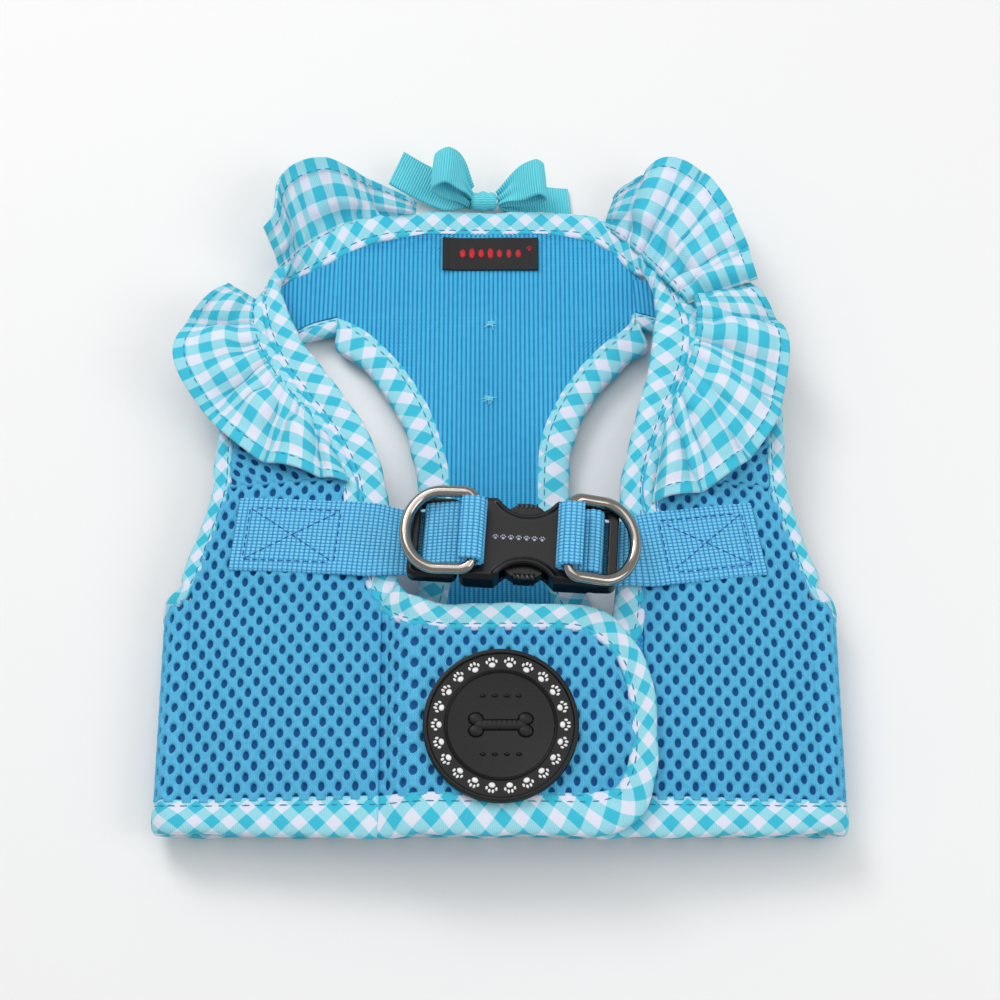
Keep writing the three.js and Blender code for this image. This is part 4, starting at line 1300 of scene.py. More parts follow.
@dataclass
class Bindings:
    """Bias-cut cotton bands that wrap each edge, with their stitches."""

    shop: Shop
    step: float = 0.85
    around: int = 28
    stitch_at: float = 0.27
    bands: dict[str, list[bpy.types.Object]] = field(default_factory=dict)

    def band(
        self,
        name: str,
        first: Sequence,
        second: Sequence,
        body: str,
        nodes: Sequence[str],
        seed: float = 0,
        thickness: float = 4.0,
    ) -> None:
        """Wraps one edge.

        Args:
            name: the band's name.
            first: points on the cloth's side of the band.
            second: matching points on its free side.
            body: the body that it rides on.
            nodes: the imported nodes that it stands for.
            seed: sets its wrinkles apart from another band's.
            thickness: how thick it is.
        """
        a, b, along = rails(first, second, self.step)
        width = b - a
        out = unit(np.cross(np.gradient(a + b, axis=0), width))
        angle = np.linspace(0, 2 * np.pi, self.around, endpoint=False)
        cosine, sine = np.cos(angle), np.sin(angle)
        share = 0.5 - 0.5 * np.sign(cosine) * np.abs(cosine) ** 0.75
        height = np.sign(sine) * np.abs(sine) ** 0.55 * thickness / 2
        pinch = 1 - 0.3 * np.exp(-(((share - self.stitch_at) / 0.075) ** 2))
        height = height * pinch * (1 - 0.1 * smoothstep(share, 0.3, 0.1))
        u = along[:, None] + seed
        pucker = np.sin(2 * np.pi * u / 3.2 + 0.9 * np.sin(u / 5.3)) * np.exp(
            -(((share[None, :] - self.stitch_at) / 0.22) ** 2)
        )
        slow = np.sin(u / 4.1 + 3 * share[None, :]) + 0.7 * np.sin(u / 2.3 - 5 * share[None, :])
        wrinkle = 0.1 * pucker + 0.07 * slow
        lift = height[None, :] + np.sign(sine)[None, :] * wrinkle * (np.abs(sine)[None, :] > 0.05)
        ripple = 0.18 * np.sin(u / 3.7 + seed) + 0.12 * np.sin(u / 1.9)
        reach = unit(width)[:, None, :] * (ripple * smoothstep(share, 0.6, 1)[None, :])[..., None]
        ring = a[:, None, :] + width[:, None, :] * share[None, :, None] + reach
        ring = ring + out[:, None, :] * lift[..., None]
        mean_width = float(np.linalg.norm(width, axis=1).mean())
        profile = np.stack([share * mean_width, height], 1)
        walk = lengths_along(profile[: self.around // 2 + 1])
        walk = walk[-1] - walk
        across = np.concatenate([walk, walk[1:-1][::-1]])
        uv = cloth_map(along[:, None], across[None, :])
        count = len(along)
        number = np.arange(count * self.around).reshape(count, self.around)
        ahead = np.roll(number, -1, axis=1)
        quads = np.stack([number[:-1], number[1:], ahead[1:], ahead[:-1]], -1).reshape(-1, 4)
        faces = quads.tolist() + [number[0].tolist(), number[-1][::-1].tolist()]
        grain = GINGHAM[Grain.BIAS]
        points = ring.reshape(-1, 3)
        obj = self.shop.mesh(f"band {name}", points, faces, grain, uv.reshape(-1, 2))
        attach(obj, body)
        if nodes:
            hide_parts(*nodes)
        place = int(np.argmin(np.abs(share[: self.around // 2] - self.stitch_at)))
        kernel = np.ones(7) / 7
        runs = []
        for line, way in ((ring[:, place], out), (ring[:, -place], -out)):
            padded = np.pad(line, ((3, 3), (0, 0)), mode="reflect", reflect_type="odd")
            eased = np.stack([np.convolve(padded[:, k], kernel, "valid") for k in range(3)], 1)
            sink = ((eased - line) * way).sum(1, keepdims=True)
            runs.append((eased - way * sink, way))
        sewn = self.shop.stitches(f"stitches {name}", runs, SEWING)
        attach(sewn, body)
        self.bands[name] = [obj, sewn]

    def hem(self) -> None:
        """The hem round the back's halves, the sides and the belly."""
        seam, edge = [], []

        def across(xs: np.ndarray) -> None:
            """Adds a stretch on the back."""
            for x in xs:
                low = -93 + 2.5 * (x / 80.5) ** 2
                seam.append([x, -82, float(DRAPE.back(x, -82))])
                edge.append([x, low, float(DRAPE.back(x, low))])

        def around(side: int, angles: np.ndarray) -> None:
            """Adds a stretch round a rolled side."""
            for angle in np.radians(angles):
                share = 0.5 + math.sin(angle) / 2
                ends = blend_between(-77.5, -82, share), blend_between(-88.5, -90.5, share)
                seam.append(DRAPE.turn(side, angle, ends[0]).tolist())
                edge.append(DRAPE.turn(side, angle, ends[1]).tolist())

        across(np.linspace(-30.2, -79, 10))
        around(-1, np.linspace(80, -80, 9))
        for x in np.linspace(-78, 78, 16):
            seam.append([x, -77.5, 2])
            edge.append([x, -88.5, 2])
        around(1, np.linspace(-80, 80, 9))
        across(np.linspace(79, 24, 10))
        nodes = ["hem_belly"]
        nodes += [f"hem_{part}_{half.name}" for half in HALVES for part in ("back", "side")]
        self.band("hem", seam, edge, "vest", nodes)

    def neck(self) -> None:
        """The neck, from one wing over both shoulders to the other."""
        under = ((35.6, -41.6), (31, -44.6), (24, -46))
        tucked = ((27.6, -37.2), (24.6, -38.4), (19, -39))
        seam = on_back(LEFT.seam)[::-1] + on_chest(TOP_SEAM)[1:-1] + on_back(RIGHT.seam)
        edge = on_back(LEFT.edge)[::-1] + on_chest(TOP_EDGE)[1:-1] + on_back(RIGHT.edge)
        seam += on_back(under)
        edge += on_back(tucked)
        nodes = ["neck_binding_left", "neck_binding_top", "neck_binding_right"]
        self.band("neck", seam, edge, "vest", nodes, 11)

    def armhole(self, half: Half) -> None:
        """One armhole, from the wing round the side and up the chest to the shoulder."""
        side = half.side
        seam, edge = [], []
        upper = on_back(half.armhole)
        inward = on_back(half.seam)[: len(upper)]
        inward[0] = list(half.corner)
        inward[1] = [(p + q) / 2 for p, q in zip(inward[0], inward[2])]
        for p, q in zip(upper, inward):
            away = unit(np.array(p) - np.array(q)) * 5
            seam.append(p)
            edge.append((np.array(p) + away).tolist())
        for y in (-6, -15, -22):
            x = side * min(80.5, float(blend_between(70.9, 80.5, (2 - y) / 31)))
            p = [x, y, float(DRAPE.back(x, y))]
            seam.append(p)
            edge.append([x + side * 5, y - 0.75, p[2] - 1.25])
        for angle in np.radians([70, 40, 10, -20, -50, -78]):
            at = float(half.side_ends(angle)[1]) + 0.3
            seam.append(DRAPE.turn(side, angle, at).tolist())
            edge.append(DRAPE.turn(side, angle, at + 5).tolist())
        column = 1 if side < 0 else 2
        inner = [[side * x, -39.5, 1.8] for x in (74, 60, 46)]
        inner += [[r[column], r[0], float(DRAPE.chest(r[0]))] for r in CHEST_ROWS[1:11]]
        for i, p in enumerate(inner):
            before, after = inner[max(0, i - 1)], inner[min(len(inner) - 1, i + 1)]
            away = unit(np.array([(after[1] - before[1]) * side, (before[0] - after[0]) * side, 0]))
            free = np.array(p) + away * (5 if i < 3 else 6.5 if i == 3 else 9)
            seam.append([p[0], p[1], p[2] + 0.35])
            edge.append([free[0], free[1], free[2] + 0.35])
        seam.append(seam[0])
        edge.append(edge[0])
        stretches = ("shoulder", "wing", "side", "chest")
        nodes = [f"armhole_{part}_{half.name}" for part in stretches]
        self.band(f"armhole {half.name}", seam, edge, "vest", nodes, 23 + side)

    def piping(self, half: Half) -> None:
        """A narrow band between the neck's binding and the ruffle."""
        seam = np.array(on_back(half.seam[3:12]))
        edge = np.array(on_back(half.edge[3:12]))
        away = unit(seam - edge)
        first, second = (seam + away * reach for reach in (3.4, -0.5))
        raised = np.array([0, 0, 0.9])
        name = f"piping {half.name}"
        self.band(name, first + raised, second + raised, "vest", [], 31 + half.side, 2.6)

    def flap(self) -> None:
        """The flap's free edge and its hem, in one run round its corner."""
        nodes = ["flap_binding", "flap_hem"]
        self.band("flap", on_flap(FLAP_SEAM), on_flap(FLAP_FREE), "flap", nodes, 5)

    def build(self) -> None:
        """Wraps every edge."""
        self.hem()
        self.neck()
        for half in HALVES:
            self.armhole(half)
            self.piping(half)
        self.flap()


# ruffles


@dataclass(frozen=True)
class Fold:
    """One train of folds across a ruffle: how many, how high, and where along its width."""

    count: float
    height: float
    start: float
    end: float
    shift: float = 0.0


@dataclass
class Ruffle:
    """A gathered strip of checked cotton on a shoulder."""

    shop: Shop
    name: str
    node: str
    seam: tuple
    hem: tuple
    lift: float
    folds: tuple[Fold, ...]
    fullness: float = 1.15
    tuck: float = 0.0
    thickness: float = 0.55
    step: float = 0.5

    def build(self) -> bpy.types.Object:
        """Builds the ruffle and its hem's stitches."""
        seam = np.array(on_back(self.seam, self.lift * 0.3))
        hem = np.array(on_back(self.hem, self.lift))
        seam = seam + unit(seam - hem) * self.tuck
        a, b, _ = rails(seam, hem, self.step)
        hem_length = lengths_along(b)
        count = len(a)
        columns = 56
        grid = ruled(a, b, columns)
        normal = grid_normals(grid)
        if normal[..., 2].mean() < 0:
            normal = -normal
        s = np.linspace(0, 1, count)[:, None]
        t = np.linspace(0, 1, columns)[None, :]
        along = unit(np.gradient(grid, axis=0))
        height = np.zeros((count, columns))
        slide = np.zeros((count, columns))
        for fold in self.folds:
            gate = smoothstep(t, fold.start - 0.2, fold.start + 0.05) * (
                1 - smoothstep(t, fold.end - 0.1, fold.end + 0.25)
            )
            bend = fold.shift + 0.12 * np.sin(7 * s + fold.shift) + 0.05 * t
            phase = 2 * np.pi * fold.count * (s + 0.02 * np.sin(9 * s + 3 * fold.shift)) + bend * 6
            height = height + gate * fold.height * (0.5 - 0.5 * np.cos(phase))
            slide = slide - gate * fold.height * 0.45 * np.sin(phase)
        ends = smoothstep(s, 0, 0.06) * (1 - smoothstep(s, 0.94, 1))
        grid = grid + normal * (height * (0.25 + 0.75 * ends))[..., None]
        grid = grid + along * (slide * ends)[..., None]
        drop = np.linalg.norm(np.diff(grid, axis=1), axis=-1).mean()
        width = drop * (columns - 1)
        u = np.broadcast_to(hem_length[:, None] * self.fullness, s.shape[:1] + (columns,))
        v = np.broadcast_to((1 - t) * width, (count, columns))
        uv = np.stack([u, v], -1)
        turned = 0.35 * smoothstep(v, 3.5, 3.1) + 0.12 * np.exp(-(((v - 3.0) / 0.35) ** 2))
        weave = 0.05 * np.sin(u * 2.1) * np.sin(v * 1.7)
        grain = GINGHAM[Grain.STRAIGHT]
        half = self.thickness / 2
        obj = self.shop.cloth(self.name, grid, uv, grain, half + turned + weave, half)
        sewn_at = int(np.argmin(np.abs(v[0] - 2.7)))
        surface = grid + normal * (half + turned)[..., None]
        rows = [(surface[:, sewn_at], normal[:, sewn_at])]
        rows.append((grid[:, 3] + normal[:, 3] * half, normal[:, 3]))
        sewn = self.shop.stitches(f"stitches {self.name}", rows, SEWING, 2.7, 1.9, 0.17)
        for piece in (obj, sewn):
            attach(piece, "vest")
        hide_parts(self.node)
        return obj


BACK_FOLDS = (
    Fold(17, 0.6, 0.0, 0.25), Fold(8.5, 1.5, 0.1, 0.6, 0.4), Fold(4.2, 3.0, 0.4, 1.4, 0.1),
)
FRONT_FOLDS = (
    Fold(15, 0.4, 0.0, 0.2), Fold(7, 0.8, 0.1, 0.6, 0.5), Fold(2.5, 2.6, 0.35, 1.4, 0.2),
)
PLEATS = (
    Fold(16, 1.1, 0.0, 0.3), Fold(8.5, 2.4, 0.05, 0.75, 0.3), Fold(4.5, 3.4, 0.35, 1.4, 0.15),
)


def ruffles(shop: Shop) -> list[Ruffle]:
    """The four stretches of the collar's ruffle."""
    clear = 2.9
    return [
        Ruffle(
            shop,
            "ruffle back left",
            "ruffle_back_left",
            (
                (-66.8, 58.6), (-66.2, 52), (-64.4, 46), (-61.2, 39), (-57, 32), (-51.6, 24.6),
                (-44.6, 13),
            ),
            (
                (-74.6, 63.4), (-84.8, 52.8), (-88.2, 40.5), (-79.5, 24.5), (-66.1, 10.6),
                (-53, 4.6), (-39.5, 0.6),
            ),
            clear,
            BACK_FOLDS,
        ),
        Ruffle(
            shop,
            "ruffle front left",
            "ruffle_front_left",
            (
                (-61.2, 71.4, 10.8), (-54.2, 80.4, 6.2), (-43.8, 88, 4), (-35, 90.4, 4),
                (-24, 91.4, 4),
            ),
            (
                (-65.8, 80.6, 17.6), (-60, 100, 16.6), (-50, 105, 14.6), (-38, 101, 10.6),
                (-24, 95.8, 5),
            ),
            0.5,
            FRONT_FOLDS,
        ),
        Ruffle(
            shop,
            "ruffle back right",
            "ruffle_back_right",
            (
                (52.9, 58.6), (53.2, 51), (52.4, 44), (50.8, 37.6), (48.8, 31.6), (46.4, 25.4),
                (43.6, 16.6),
            ),
            (
                (68.5, 62.6), (77, 48.5), (77.3, 36.6), (73.6, 21), (64.2, 7.6), (52, -1.6),
                (39.5, -5.4),
            ),
            clear,
            PLEATS,
        ),
        Ruffle(
            shop,
            "ruffle front right",
            "ruffle_front_right",
            (
                (29.8, 88.6, 4), (38.6, 79.6, 6), (43.4, 71.4, 9.4), (47, 64.6, 13), (51.4, 57, 17),
            ),
            (
                (32.9, 96.6, 8), (48, 103.8, 14.6), (59.2, 96, 17.6), (67, 78, 19.6),
                (70.4, 62.4, 21.0),
            ),
            0.5,
            PLEATS,
        ),
    ]


# bow

BOW = (
    (
        (-6.0, 97.4, 4.6), (-11, 100.4, 8), (-16.4, 101.4, 13), (-12.4, 102, 16.4),
        (-8.6, 101.4, 12.4), (-5.6, 98.6, 6.4),
    ),
    (
        (2.0, 97.6, 4.8), (7, 99.2, 9), (13.4, 99.8, 13.4), (15.4, 99.8, 10.4), (9, 99.4, 6.4),
        (2.0, 97.6, 4.0),
    ),
    ((-5.0, 97.4, 3.4), (-14, 100.6, 4), (-21, 103, 6.4), (-27, 105.6, 8.6)),
    ((2.2, 97.6, 2.2), (10, 98.8, 1.2), (17, 98.6, 1.0), (22.6, 98.2, 1.0)),
)
BOW_LEAN = ((0.1, 1, 0.3), (-0.1, 1, 0.3), (0.5, 1, 0.35), (-0.1, 1, 0))


@dataclass
class Bow:
    """A ribbon bow outside the neck: two loops, two tails and a knot."""

    shop: Shop
    width: float = 10.2
    thickness: float = 0.45
    shift: float = -2.6

    def build(self) -> None:
        """Builds the ribbon as one piece, with its knot."""
        parts = []
        for k, (path, lean) in enumerate(zip(BOW, BOW_LEAN)):
            line = smooth_line(path, 220) + (self.shift, 0, 0)
            at = lengths_along(line)
            places = np.linspace(0, at[-1], int(at[-1] / 0.17))
            line = resample(line, at, places)
            share = places / at[-1]
            gather = blend_between(0.42, 1.0, smoothstep(share, 0.0, 0.3))
            if k < 2:
                gather = gather * blend_between(1.0, 0.42, smoothstep(share, 0.72, 1.0))
            across = np.linspace(-1, 1, 15)
            width = unit(np.array(lean, float))[None, :] * (self.width / 2 * gather)[:, None]
            grid = line[:, None, :] + width[:, None, :] * across[None, :, None]
            cup = unit(np.cross(np.gradient(line, axis=0), width))
            pleat = (1 - gather)[:, None] * np.cos(across * 7)[None, :] * 0.9
            curl = 0.35 * np.sin(share * 9 + k)[:, None] * (across**2)[None, :]
            grid = grid + cup[:, None, :] * (pleat + curl)[..., None]
            uv = cloth_map(places[:, None], across[None, :] * self.width / 2)
            relief = RIBBON.relief(uv[..., 0], uv[..., 1])
            half = self.thickness / 2
            name = f"ribbon {k}"
            parts.append(self.shop.cloth(name, grid, uv, RIBBON, half + relief, half + relief))
        for part in parts[1:]:
            self.shop.pieces.remove(part)
        select(parts)
        bpy.ops.object.join()
        bow = bpy.context.view_layer.objects.active
        bow.name = "bow_ribbon"
        knot = self.knot()
        for obj in (bow, knot):
            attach(obj, "vest")
        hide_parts("bow_loop_left", "bow_loop_right", "bow_tail_left", "bow_tail_right")
        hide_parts("bow_knot")

    def knot(self) -> bpy.types.Object:
        """The ribbon's turn round the middle of the bow."""
        angle = np.linspace(0, 2 * np.pi, 72, endpoint=False)
        across = np.linspace(-1, 1, 19)
        points, uv, faces = [], [], []
        radius = 2.9
        for i, a in enumerate(angle):
            for j, c in enumerate(across):
                crease = 0.22 * math.cos(c * 8 + 0.4 * math.sin(a * 2))
                swell = radius * (1 - 0.32 * abs(c) ** 3) + crease
                x = self.shift - 2 + c * 3.6
                points.append((x, 97.0 + swell * math.cos(a) * 0.95, 4.4 + swell * math.sin(a)))
                uv.append((a * radius, c * 4.5))
        n, m = len(angle), len(across)
        for i in range(n):
            ahead = (i + 1) % n
            for j in range(m - 1):
                faces.append((i * m + j, ahead * m + j, ahead * m + j + 1, i * m + j + 1))
        faces.append(tuple(i * m for i in range(n)))
        faces.append(tuple(i * m + m - 1 for i in reversed(range(n))))
        return self.shop.mesh("bow knot", np.array(points), faces, RIBBON, np.array(uv))


# hardware


def turned(angle: float, axis: str) -> Matrix:
    """A turn of that many degrees about an axis."""
    return Matrix.Rotation(math.radians(angle), 4, axis)


def moved(points: np.ndarray, matrix: Matrix) -> np.ndarray:
    """The points after that placement."""
    m = np.array(matrix)
    return np.asarray(points, float) @ m[:3, :3].T + m[:3, 3]


@dataclass
class Hardware:
    """Side-release buckle, D-rings and the webbing that holds them."""

    shop: Shop
    length: float = 53.6
    turn: float = -3.6
    at: tuple[float, float] = (3.4, -18.5)
    socket_thickness: float = 8.4
    plug_thickness: float = 5.2
    strap_thickness: float = 1.4
    strap_width: float = 20
    loop_width: float = 17.6
    wire: float = 3.0
    gap: float = 0.3

    def __post_init__(self) -> None:
        """Places the buckle over the straps."""
        top = float(DRAPE.back(26, self.at[1])) + 2 + self.gap + self.strap_thickness
        self.level = top + self.gap + self.plug_thickness / 2
        self.matrix = Matrix.Translation((*self.at, self.level)) @ turned(self.turn, "Z")
        self.slot_in = self.length / 2 - 2.5
        self.under = -self.plug_thickness / 2 - self.gap - self.strap_thickness / 2
        self.over = self.socket_thickness / 2 + self.gap + self.strap_thickness / 2
        self.ring_level = self.over + self.strap_thickness / 2 + self.gap + self.wire / 2

    def half(self, side: int) -> str:
        """The body that holds this end of the buckle."""
        return "plug_half" if side < 0 else "socket_half"

    def strap(self, name: str, side: int, start: tuple[float, float]) -> None:
        """One strap, sewn to its wing with a crossed box and free out to the buckle."""
        finish = moved(np.array([[side * (self.slot_in + 1), 0, self.under]]), self.matrix)[0]
        begin = np.array([*start, 0.0])
        aim = unit((finish - begin)[:2])
        run = float(np.linalg.norm((finish - begin)[:2]))
        spare = 11.0
        turn = math.radians(self.turn)
        square = np.array([-math.sin(turn), math.cos(turn)])
        inward = np.array([math.cos(turn), math.sin(turn)]) * -side

        def surface(d: np.ndarray, across: np.ndarray, raise_by: float) -> np.ndarray:
            """A place on the strap, from its sewn end and across it from -1 to 1."""
            d, across = np.broadcast_arrays(np.asarray(d, float), np.asarray(across, float))
            share = d / run
            along = np.minimum(d, run)[..., None] * aim + np.maximum(0, d - run)[..., None] * inward
            narrow = smoothstep(share, 0.74, 0.96)[..., None]
            beside = np.array([aim[1] * side, -aim[0] * side])
            sideways = unit(beside * (1 - narrow) + square * narrow)
            width = blend_between(self.strap_width, self.loop_width, narrow[..., 0]) / 2
            place = begin[:2] + along + sideways * (width * across)[..., None]
            near = np.maximum(np.abs(place[..., 0]), 26)
            lift = blend_between(2.45, 3.0, smoothstep(share, 0.5, 0.66))
            free = smoothstep(share, 0.72, 0.9)
            z = blend_between(DRAPE.back(near, place[..., 1]) + lift, finish[2], free)
            sink = 1.7 if side > 0 else 0.4
            z = z - sink * smoothstep(share, 1.03, 1.16)
            return np.concatenate([place, (z + raise_by)[..., None]], -1)

        d = np.arange(0, run + spare, 0.4)
        across = np.linspace(-1, 1, 53)
        grid = surface(d[:, None], across[None, :], 0)
        rib = 0.12 * np.abs(np.sin(np.pi * d / 1.3))[:, None]
        edge = 0.2 * np.abs(across[None, :]) ** 10
        uv = cloth_map(d[:, None], across[None, :] * self.strap_width / 2)
        half = self.strap_thickness / 2
        title = f"webbing strap {name}"
        obj = self.shop.cloth(title, grid, uv, STRAP, half + rib - edge, half - edge)
        end = 27.5 if side < 0 else 25.5
        box = [(3.2, -0.72), (end, -0.72), (end, 0.72), (3.2, 0.72), (3.2, -0.72)]
        lines = list(zip(box, box[1:])) + [(box[0], box[2]), (box[3], box[1])]
        runs = []
        for (d1, c1), (d2, c2) in lines:
            t = np.linspace(0, 1, 40)
            line = surface(d1 + (d2 - d1) * t, c1 + (c2 - c1) * t, half + 0.1)
            runs.append((line, np.tile([0.0, 0.0, 1.0], (40, 1))))
        sewn = self.shop.stitches(f"box stitch {name}", runs, STRONG, 2.3, 1.9, 0.19)
        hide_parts(f"strap_{name}")
        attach(sewn, "vest")
        ends = surface(np.array([run * 0.62, run * 0.93]), np.zeros(2), 0)
        low, high = (Vector(self.shop.place(p)) for p in ends)
        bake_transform(obj, "vest", self.half(side), low, high)

    def loop(self, name: str, side: int, bar: float) -> None:
        """Webbing that comes up through a slot and holds a D-ring's bar."""
        slot_mid = self.slot_in - 1.9
        body = self.over if side > 0 else -self.under
        wrap = self.wire / 2 + self.gap + self.strap_thickness / 2
        reach = side * bar
        path = [
            (self.slot_in - 3.2, self.under),
            (self.slot_in - 0.4, self.under + 0.1),
            (slot_mid + 0.6, self.under + 0.6),
            (slot_mid, 0),
            (slot_mid - 0.6, body - 0.6),
            (slot_mid - 2.8, body + 0.2),
            (reach + 4.8, self.over),
            (reach + 1, self.ring_level - wrap),
        ]
        for angle in (-50, -10, 30, 70):
            turn = math.radians(angle)
            path.append((reach - wrap * math.cos(turn), self.ring_level + wrap * math.sin(turn)))
        path += [(reach + 1.2, self.ring_level + wrap), (reach + 3.4, self.ring_level + wrap - 0.4)]
        line = smooth_line([(side * x, 0, z) for x, z in path], 320)
        at = lengths_along(line)
        places = np.arange(0, at[-1], 0.3)
        line = resample(line, at, places)
        across = np.linspace(-1, 1, 49)
        scallop = 0.94 + 0.022 * np.abs(np.sin(np.pi * places / 1.3))
        grid = np.repeat(line[:, None, :], len(across), 1)
        grid[..., 1] = across[None, :] * (self.loop_width / 2) * scallop[:, None]
        sag = 0.35 * (across**2)[None, :] * smoothstep(places / places[-1], 0.6, 1.0)[:, None]
        grid[..., 2] -= sag
        grid = moved(grid.reshape(-1, 3), self.matrix).reshape(grid.shape)
        uv = cloth_map(places[:, None], across[None, :] * self.loop_width / 2)
        rib = 0.12 * np.abs(np.sin(np.pi * places / 1.3))[:, None]
        half = self.strap_thickness / 2 - 0.08
        obj = self.shop.cloth(f"ring loop {name}", grid, uv, STRAP, half + rib, half + rib)
        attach(obj, self.half(side))
        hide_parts(f"strap_loop_{name}")

    def ring(self, name: str, side: int, bar: float) -> None:
        """One D-ring, bent from round wire."""
        half = (self.loop_width + 2 * self.gap + self.wire) / 2
        corner, bend = 3.0, 2 - 21.5 / 2
        reach = (21.5 - self.wire) / 2 - 0.5
        points = [(0, y) for y in np.linspace(-half + corner, half - corner, 18)]

        def sweep(centre: tuple, wide: float, tall: float, angles: np.ndarray) -> None:
            """Adds an arc of the outline."""
            for a in map(math.radians, angles):
                points.append((centre[0] + wide * math.cos(a), centre[1] + tall * math.sin(a)))

        sweep((-corner, half - corner), corner, corner, np.linspace(0, 90, 9)[1:])
        points += [(x, half) for x in np.linspace(-corner, bend, 8)[1:]]
        sweep((bend, 0), reach, half, np.linspace(90, 270, 49)[1:])
        points += [(x, -half) for x in np.linspace(bend, -corner, 8)[1:]]
        sweep((-corner, -half + corner), corner, corner, np.linspace(270, 360, 9)[1:-1])
        rise = self.ring_level - self.plug_thickness / 2 - self.gap - self.wire / 2
        drop = math.asin(rise / (self.length / 2 - bar))
        tilt = -drop if side < 0 else math.pi + drop
        local = Matrix.Translation((bar, 0, self.ring_level)) @ Matrix.Rotation(tilt, 4, "Y")
        flat = np.array([(x, y, 0) for x, y in points])
        world = self.shop.place(moved(flat, self.matrix @ local))
        obj = tube(world, self.wire / 2 * MM, True, 8)
        obj.name = f"lead_ring_{name}_wire"
        bpy.ops.object.shade_smooth()
        self.shop.paint_with(obj, NICKEL)
        self.shop.pieces.append(obj)
        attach(obj, f"lead_ring_{name}")
        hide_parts(f"d_ring_{name}")

    def arc(self, side: int, face: int) -> bpy.types.Object:
        """A raised rim round one press window."""
        centre, radius = (3.2, side * 15.5), 9.5
        points = []
        for angle in np.radians(np.linspace(-55, 55, 40)):
            x = centre[0] + radius * math.sin(angle)
            y = centre[1] - side * radius * math.cos(angle)
            points.append((x, y, face * (self.socket_thickness / 2 - 0.05)))
        return tube(self.shop.place(moved(np.array(points), self.matrix)), 0.5 * MM, False, 4)

    def bar(self, x: float, y: float, z: float, size: tuple, matrix: Matrix) -> bpy.types.Object:
        """A small block in the buckle's own frame."""
        bpy.ops.mesh.primitive_cube_add(size=1, location=(0, 0, 0))
        obj = bpy.context.view_layer.objects.active
        scale = Matrix.Diagonal((*(s * MM for s in size), 1))
        centre = self.shop.place(moved(np.array([[x, y, z]]), matrix))[0]
        obj.data.transform(Matrix.Translation(centre) @ turned(self.turn, "Z") @ scale)
        return obj

    def fuse(self, obj: bpy.types.Object, extras: list[bpy.types.Object], grain: float) -> None:
        """Joins the extras on and rounds every edge as a moulding has it."""
        select([obj, *extras])
        bpy.ops.object.join()
        remesh = obj.modifiers.new("fuse", "REMESH")
        remesh.mode = "VOXEL"
        remesh.voxel_size = grain * MM
        smooth = obj.modifiers.new("round", "SMOOTH")
        smooth.factor = 0.5
        smooth.iterations = 3
        apply_all(obj)
        bpy.ops.object.shade_smooth()
        self.shop.paint_with(obj, PLASTIC)

    def buckle(self) -> None:
        """The buckle's two halves and its two spring arms."""
        socket = self.shop.copy_nodes("socket body", ["buckle_socket"], PLASTIC)
        rims = [self.arc(side, face) for side in (-1, 1) for face in (-1, 1)]
        self.fuse(socket, rims, 0.27)
        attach(socket, "socket_half")
        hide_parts("buckle_socket")
        plug = self.shop.copy_nodes("plug body", ["buckle_plug"], PLASTIC)
        self.fuse(plug, [], 0.27)
        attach(plug, "plug_half")
        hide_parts("buckle_plug")
        for name, side in (("upper", 1), ("lower", -1)):
            arm = self.shop.copy_nodes(f"spring arm {name}", [f"buckle_arm_{name}"], PLASTIC)
            ribs = [
                self.bar(3.2 + x, side * 9.9, z, (0.5, 1.2, 0.5), self.matrix)
                for x in (-2.4, -1.2, 0, 1.2, 2.4)
                for z in (-2.2, 2.2)
            ]
            self.fuse(arm, ribs, 0.22)
            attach(arm, f"press_arm_{name}")
            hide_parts(f"buckle_arm_{name}")
        marks = []
        for x in np.linspace(-4.6, 7.4, 7):
            marks += paw(float(x), 0.0, self.socket_thickness / 2, 0.72, 0.0)
        grey = dabs(self.shop, "buckle print", marks, GREY, self.matrix, 0.1)
        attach(grey, "socket_half")

    def build(self) -> None:
        """Builds the straps, the buckle and the rings."""
        self.buckle()
        for name, side, start, bar in (
            ("left", -1, (-69.4, -11.4), -10.2),
            ("right", 1, (67.6, -12.9), 14.3),
        ):
            self.strap(name, side, start)
            self.loop(name, side, bar)
            self.ring(name, side, bar)


def dabs(
    shop: Shop, name: str, marks: Sequence[tuple], finish: object, matrix: Matrix, height: float
) -> bpy.types.Object:
    """Small flat oval marks, as one object, each of a few dozen faces.

    Args:
        shop: the workshop.
        name: the object's name.
        marks: x, y, z, the two half widths and the turn of each.
        finish: their finish.
        matrix: the frame that they are given in.
        height: half of their thickness.

    Returns:
        The object.
    """
    sides = 10
    levels = (-0.7, 0.1, 0.75)
    points, faces = [], []
    for x, y, z, wide, tall, turn in marks:
        start = len(points)
        points.append((x, y, z - height))
        for level in levels:
            size = math.sqrt(1 - level * level)
            for k in range(sides):
                a = 2 * math.pi * k / sides
                dx, dy = wide * size * math.cos(a), tall * size * math.sin(a)
                px = dx * math.cos(turn) - dy * math.sin(turn)
                py = dx * math.sin(turn) + dy * math.cos(turn)
                points.append((x + px, y + py, z + height * level))
        points.append((x, y, z + height))
        first = start + 1
        for k in range(sides):
            beside = (k + 1) % sides
            faces.append((start, first + beside, first + k))
            for ring in range(len(levels) - 1):
                low = first + ring * sides
                faces.append((low + k, low + beside, low + sides + beside, low + sides + k))
            top = first + (len(levels) - 1) * sides
            faces.append((top + k, top + beside, top + sides))
    return shop.mesh(name, moved(np.array(points), matrix), faces, finish)


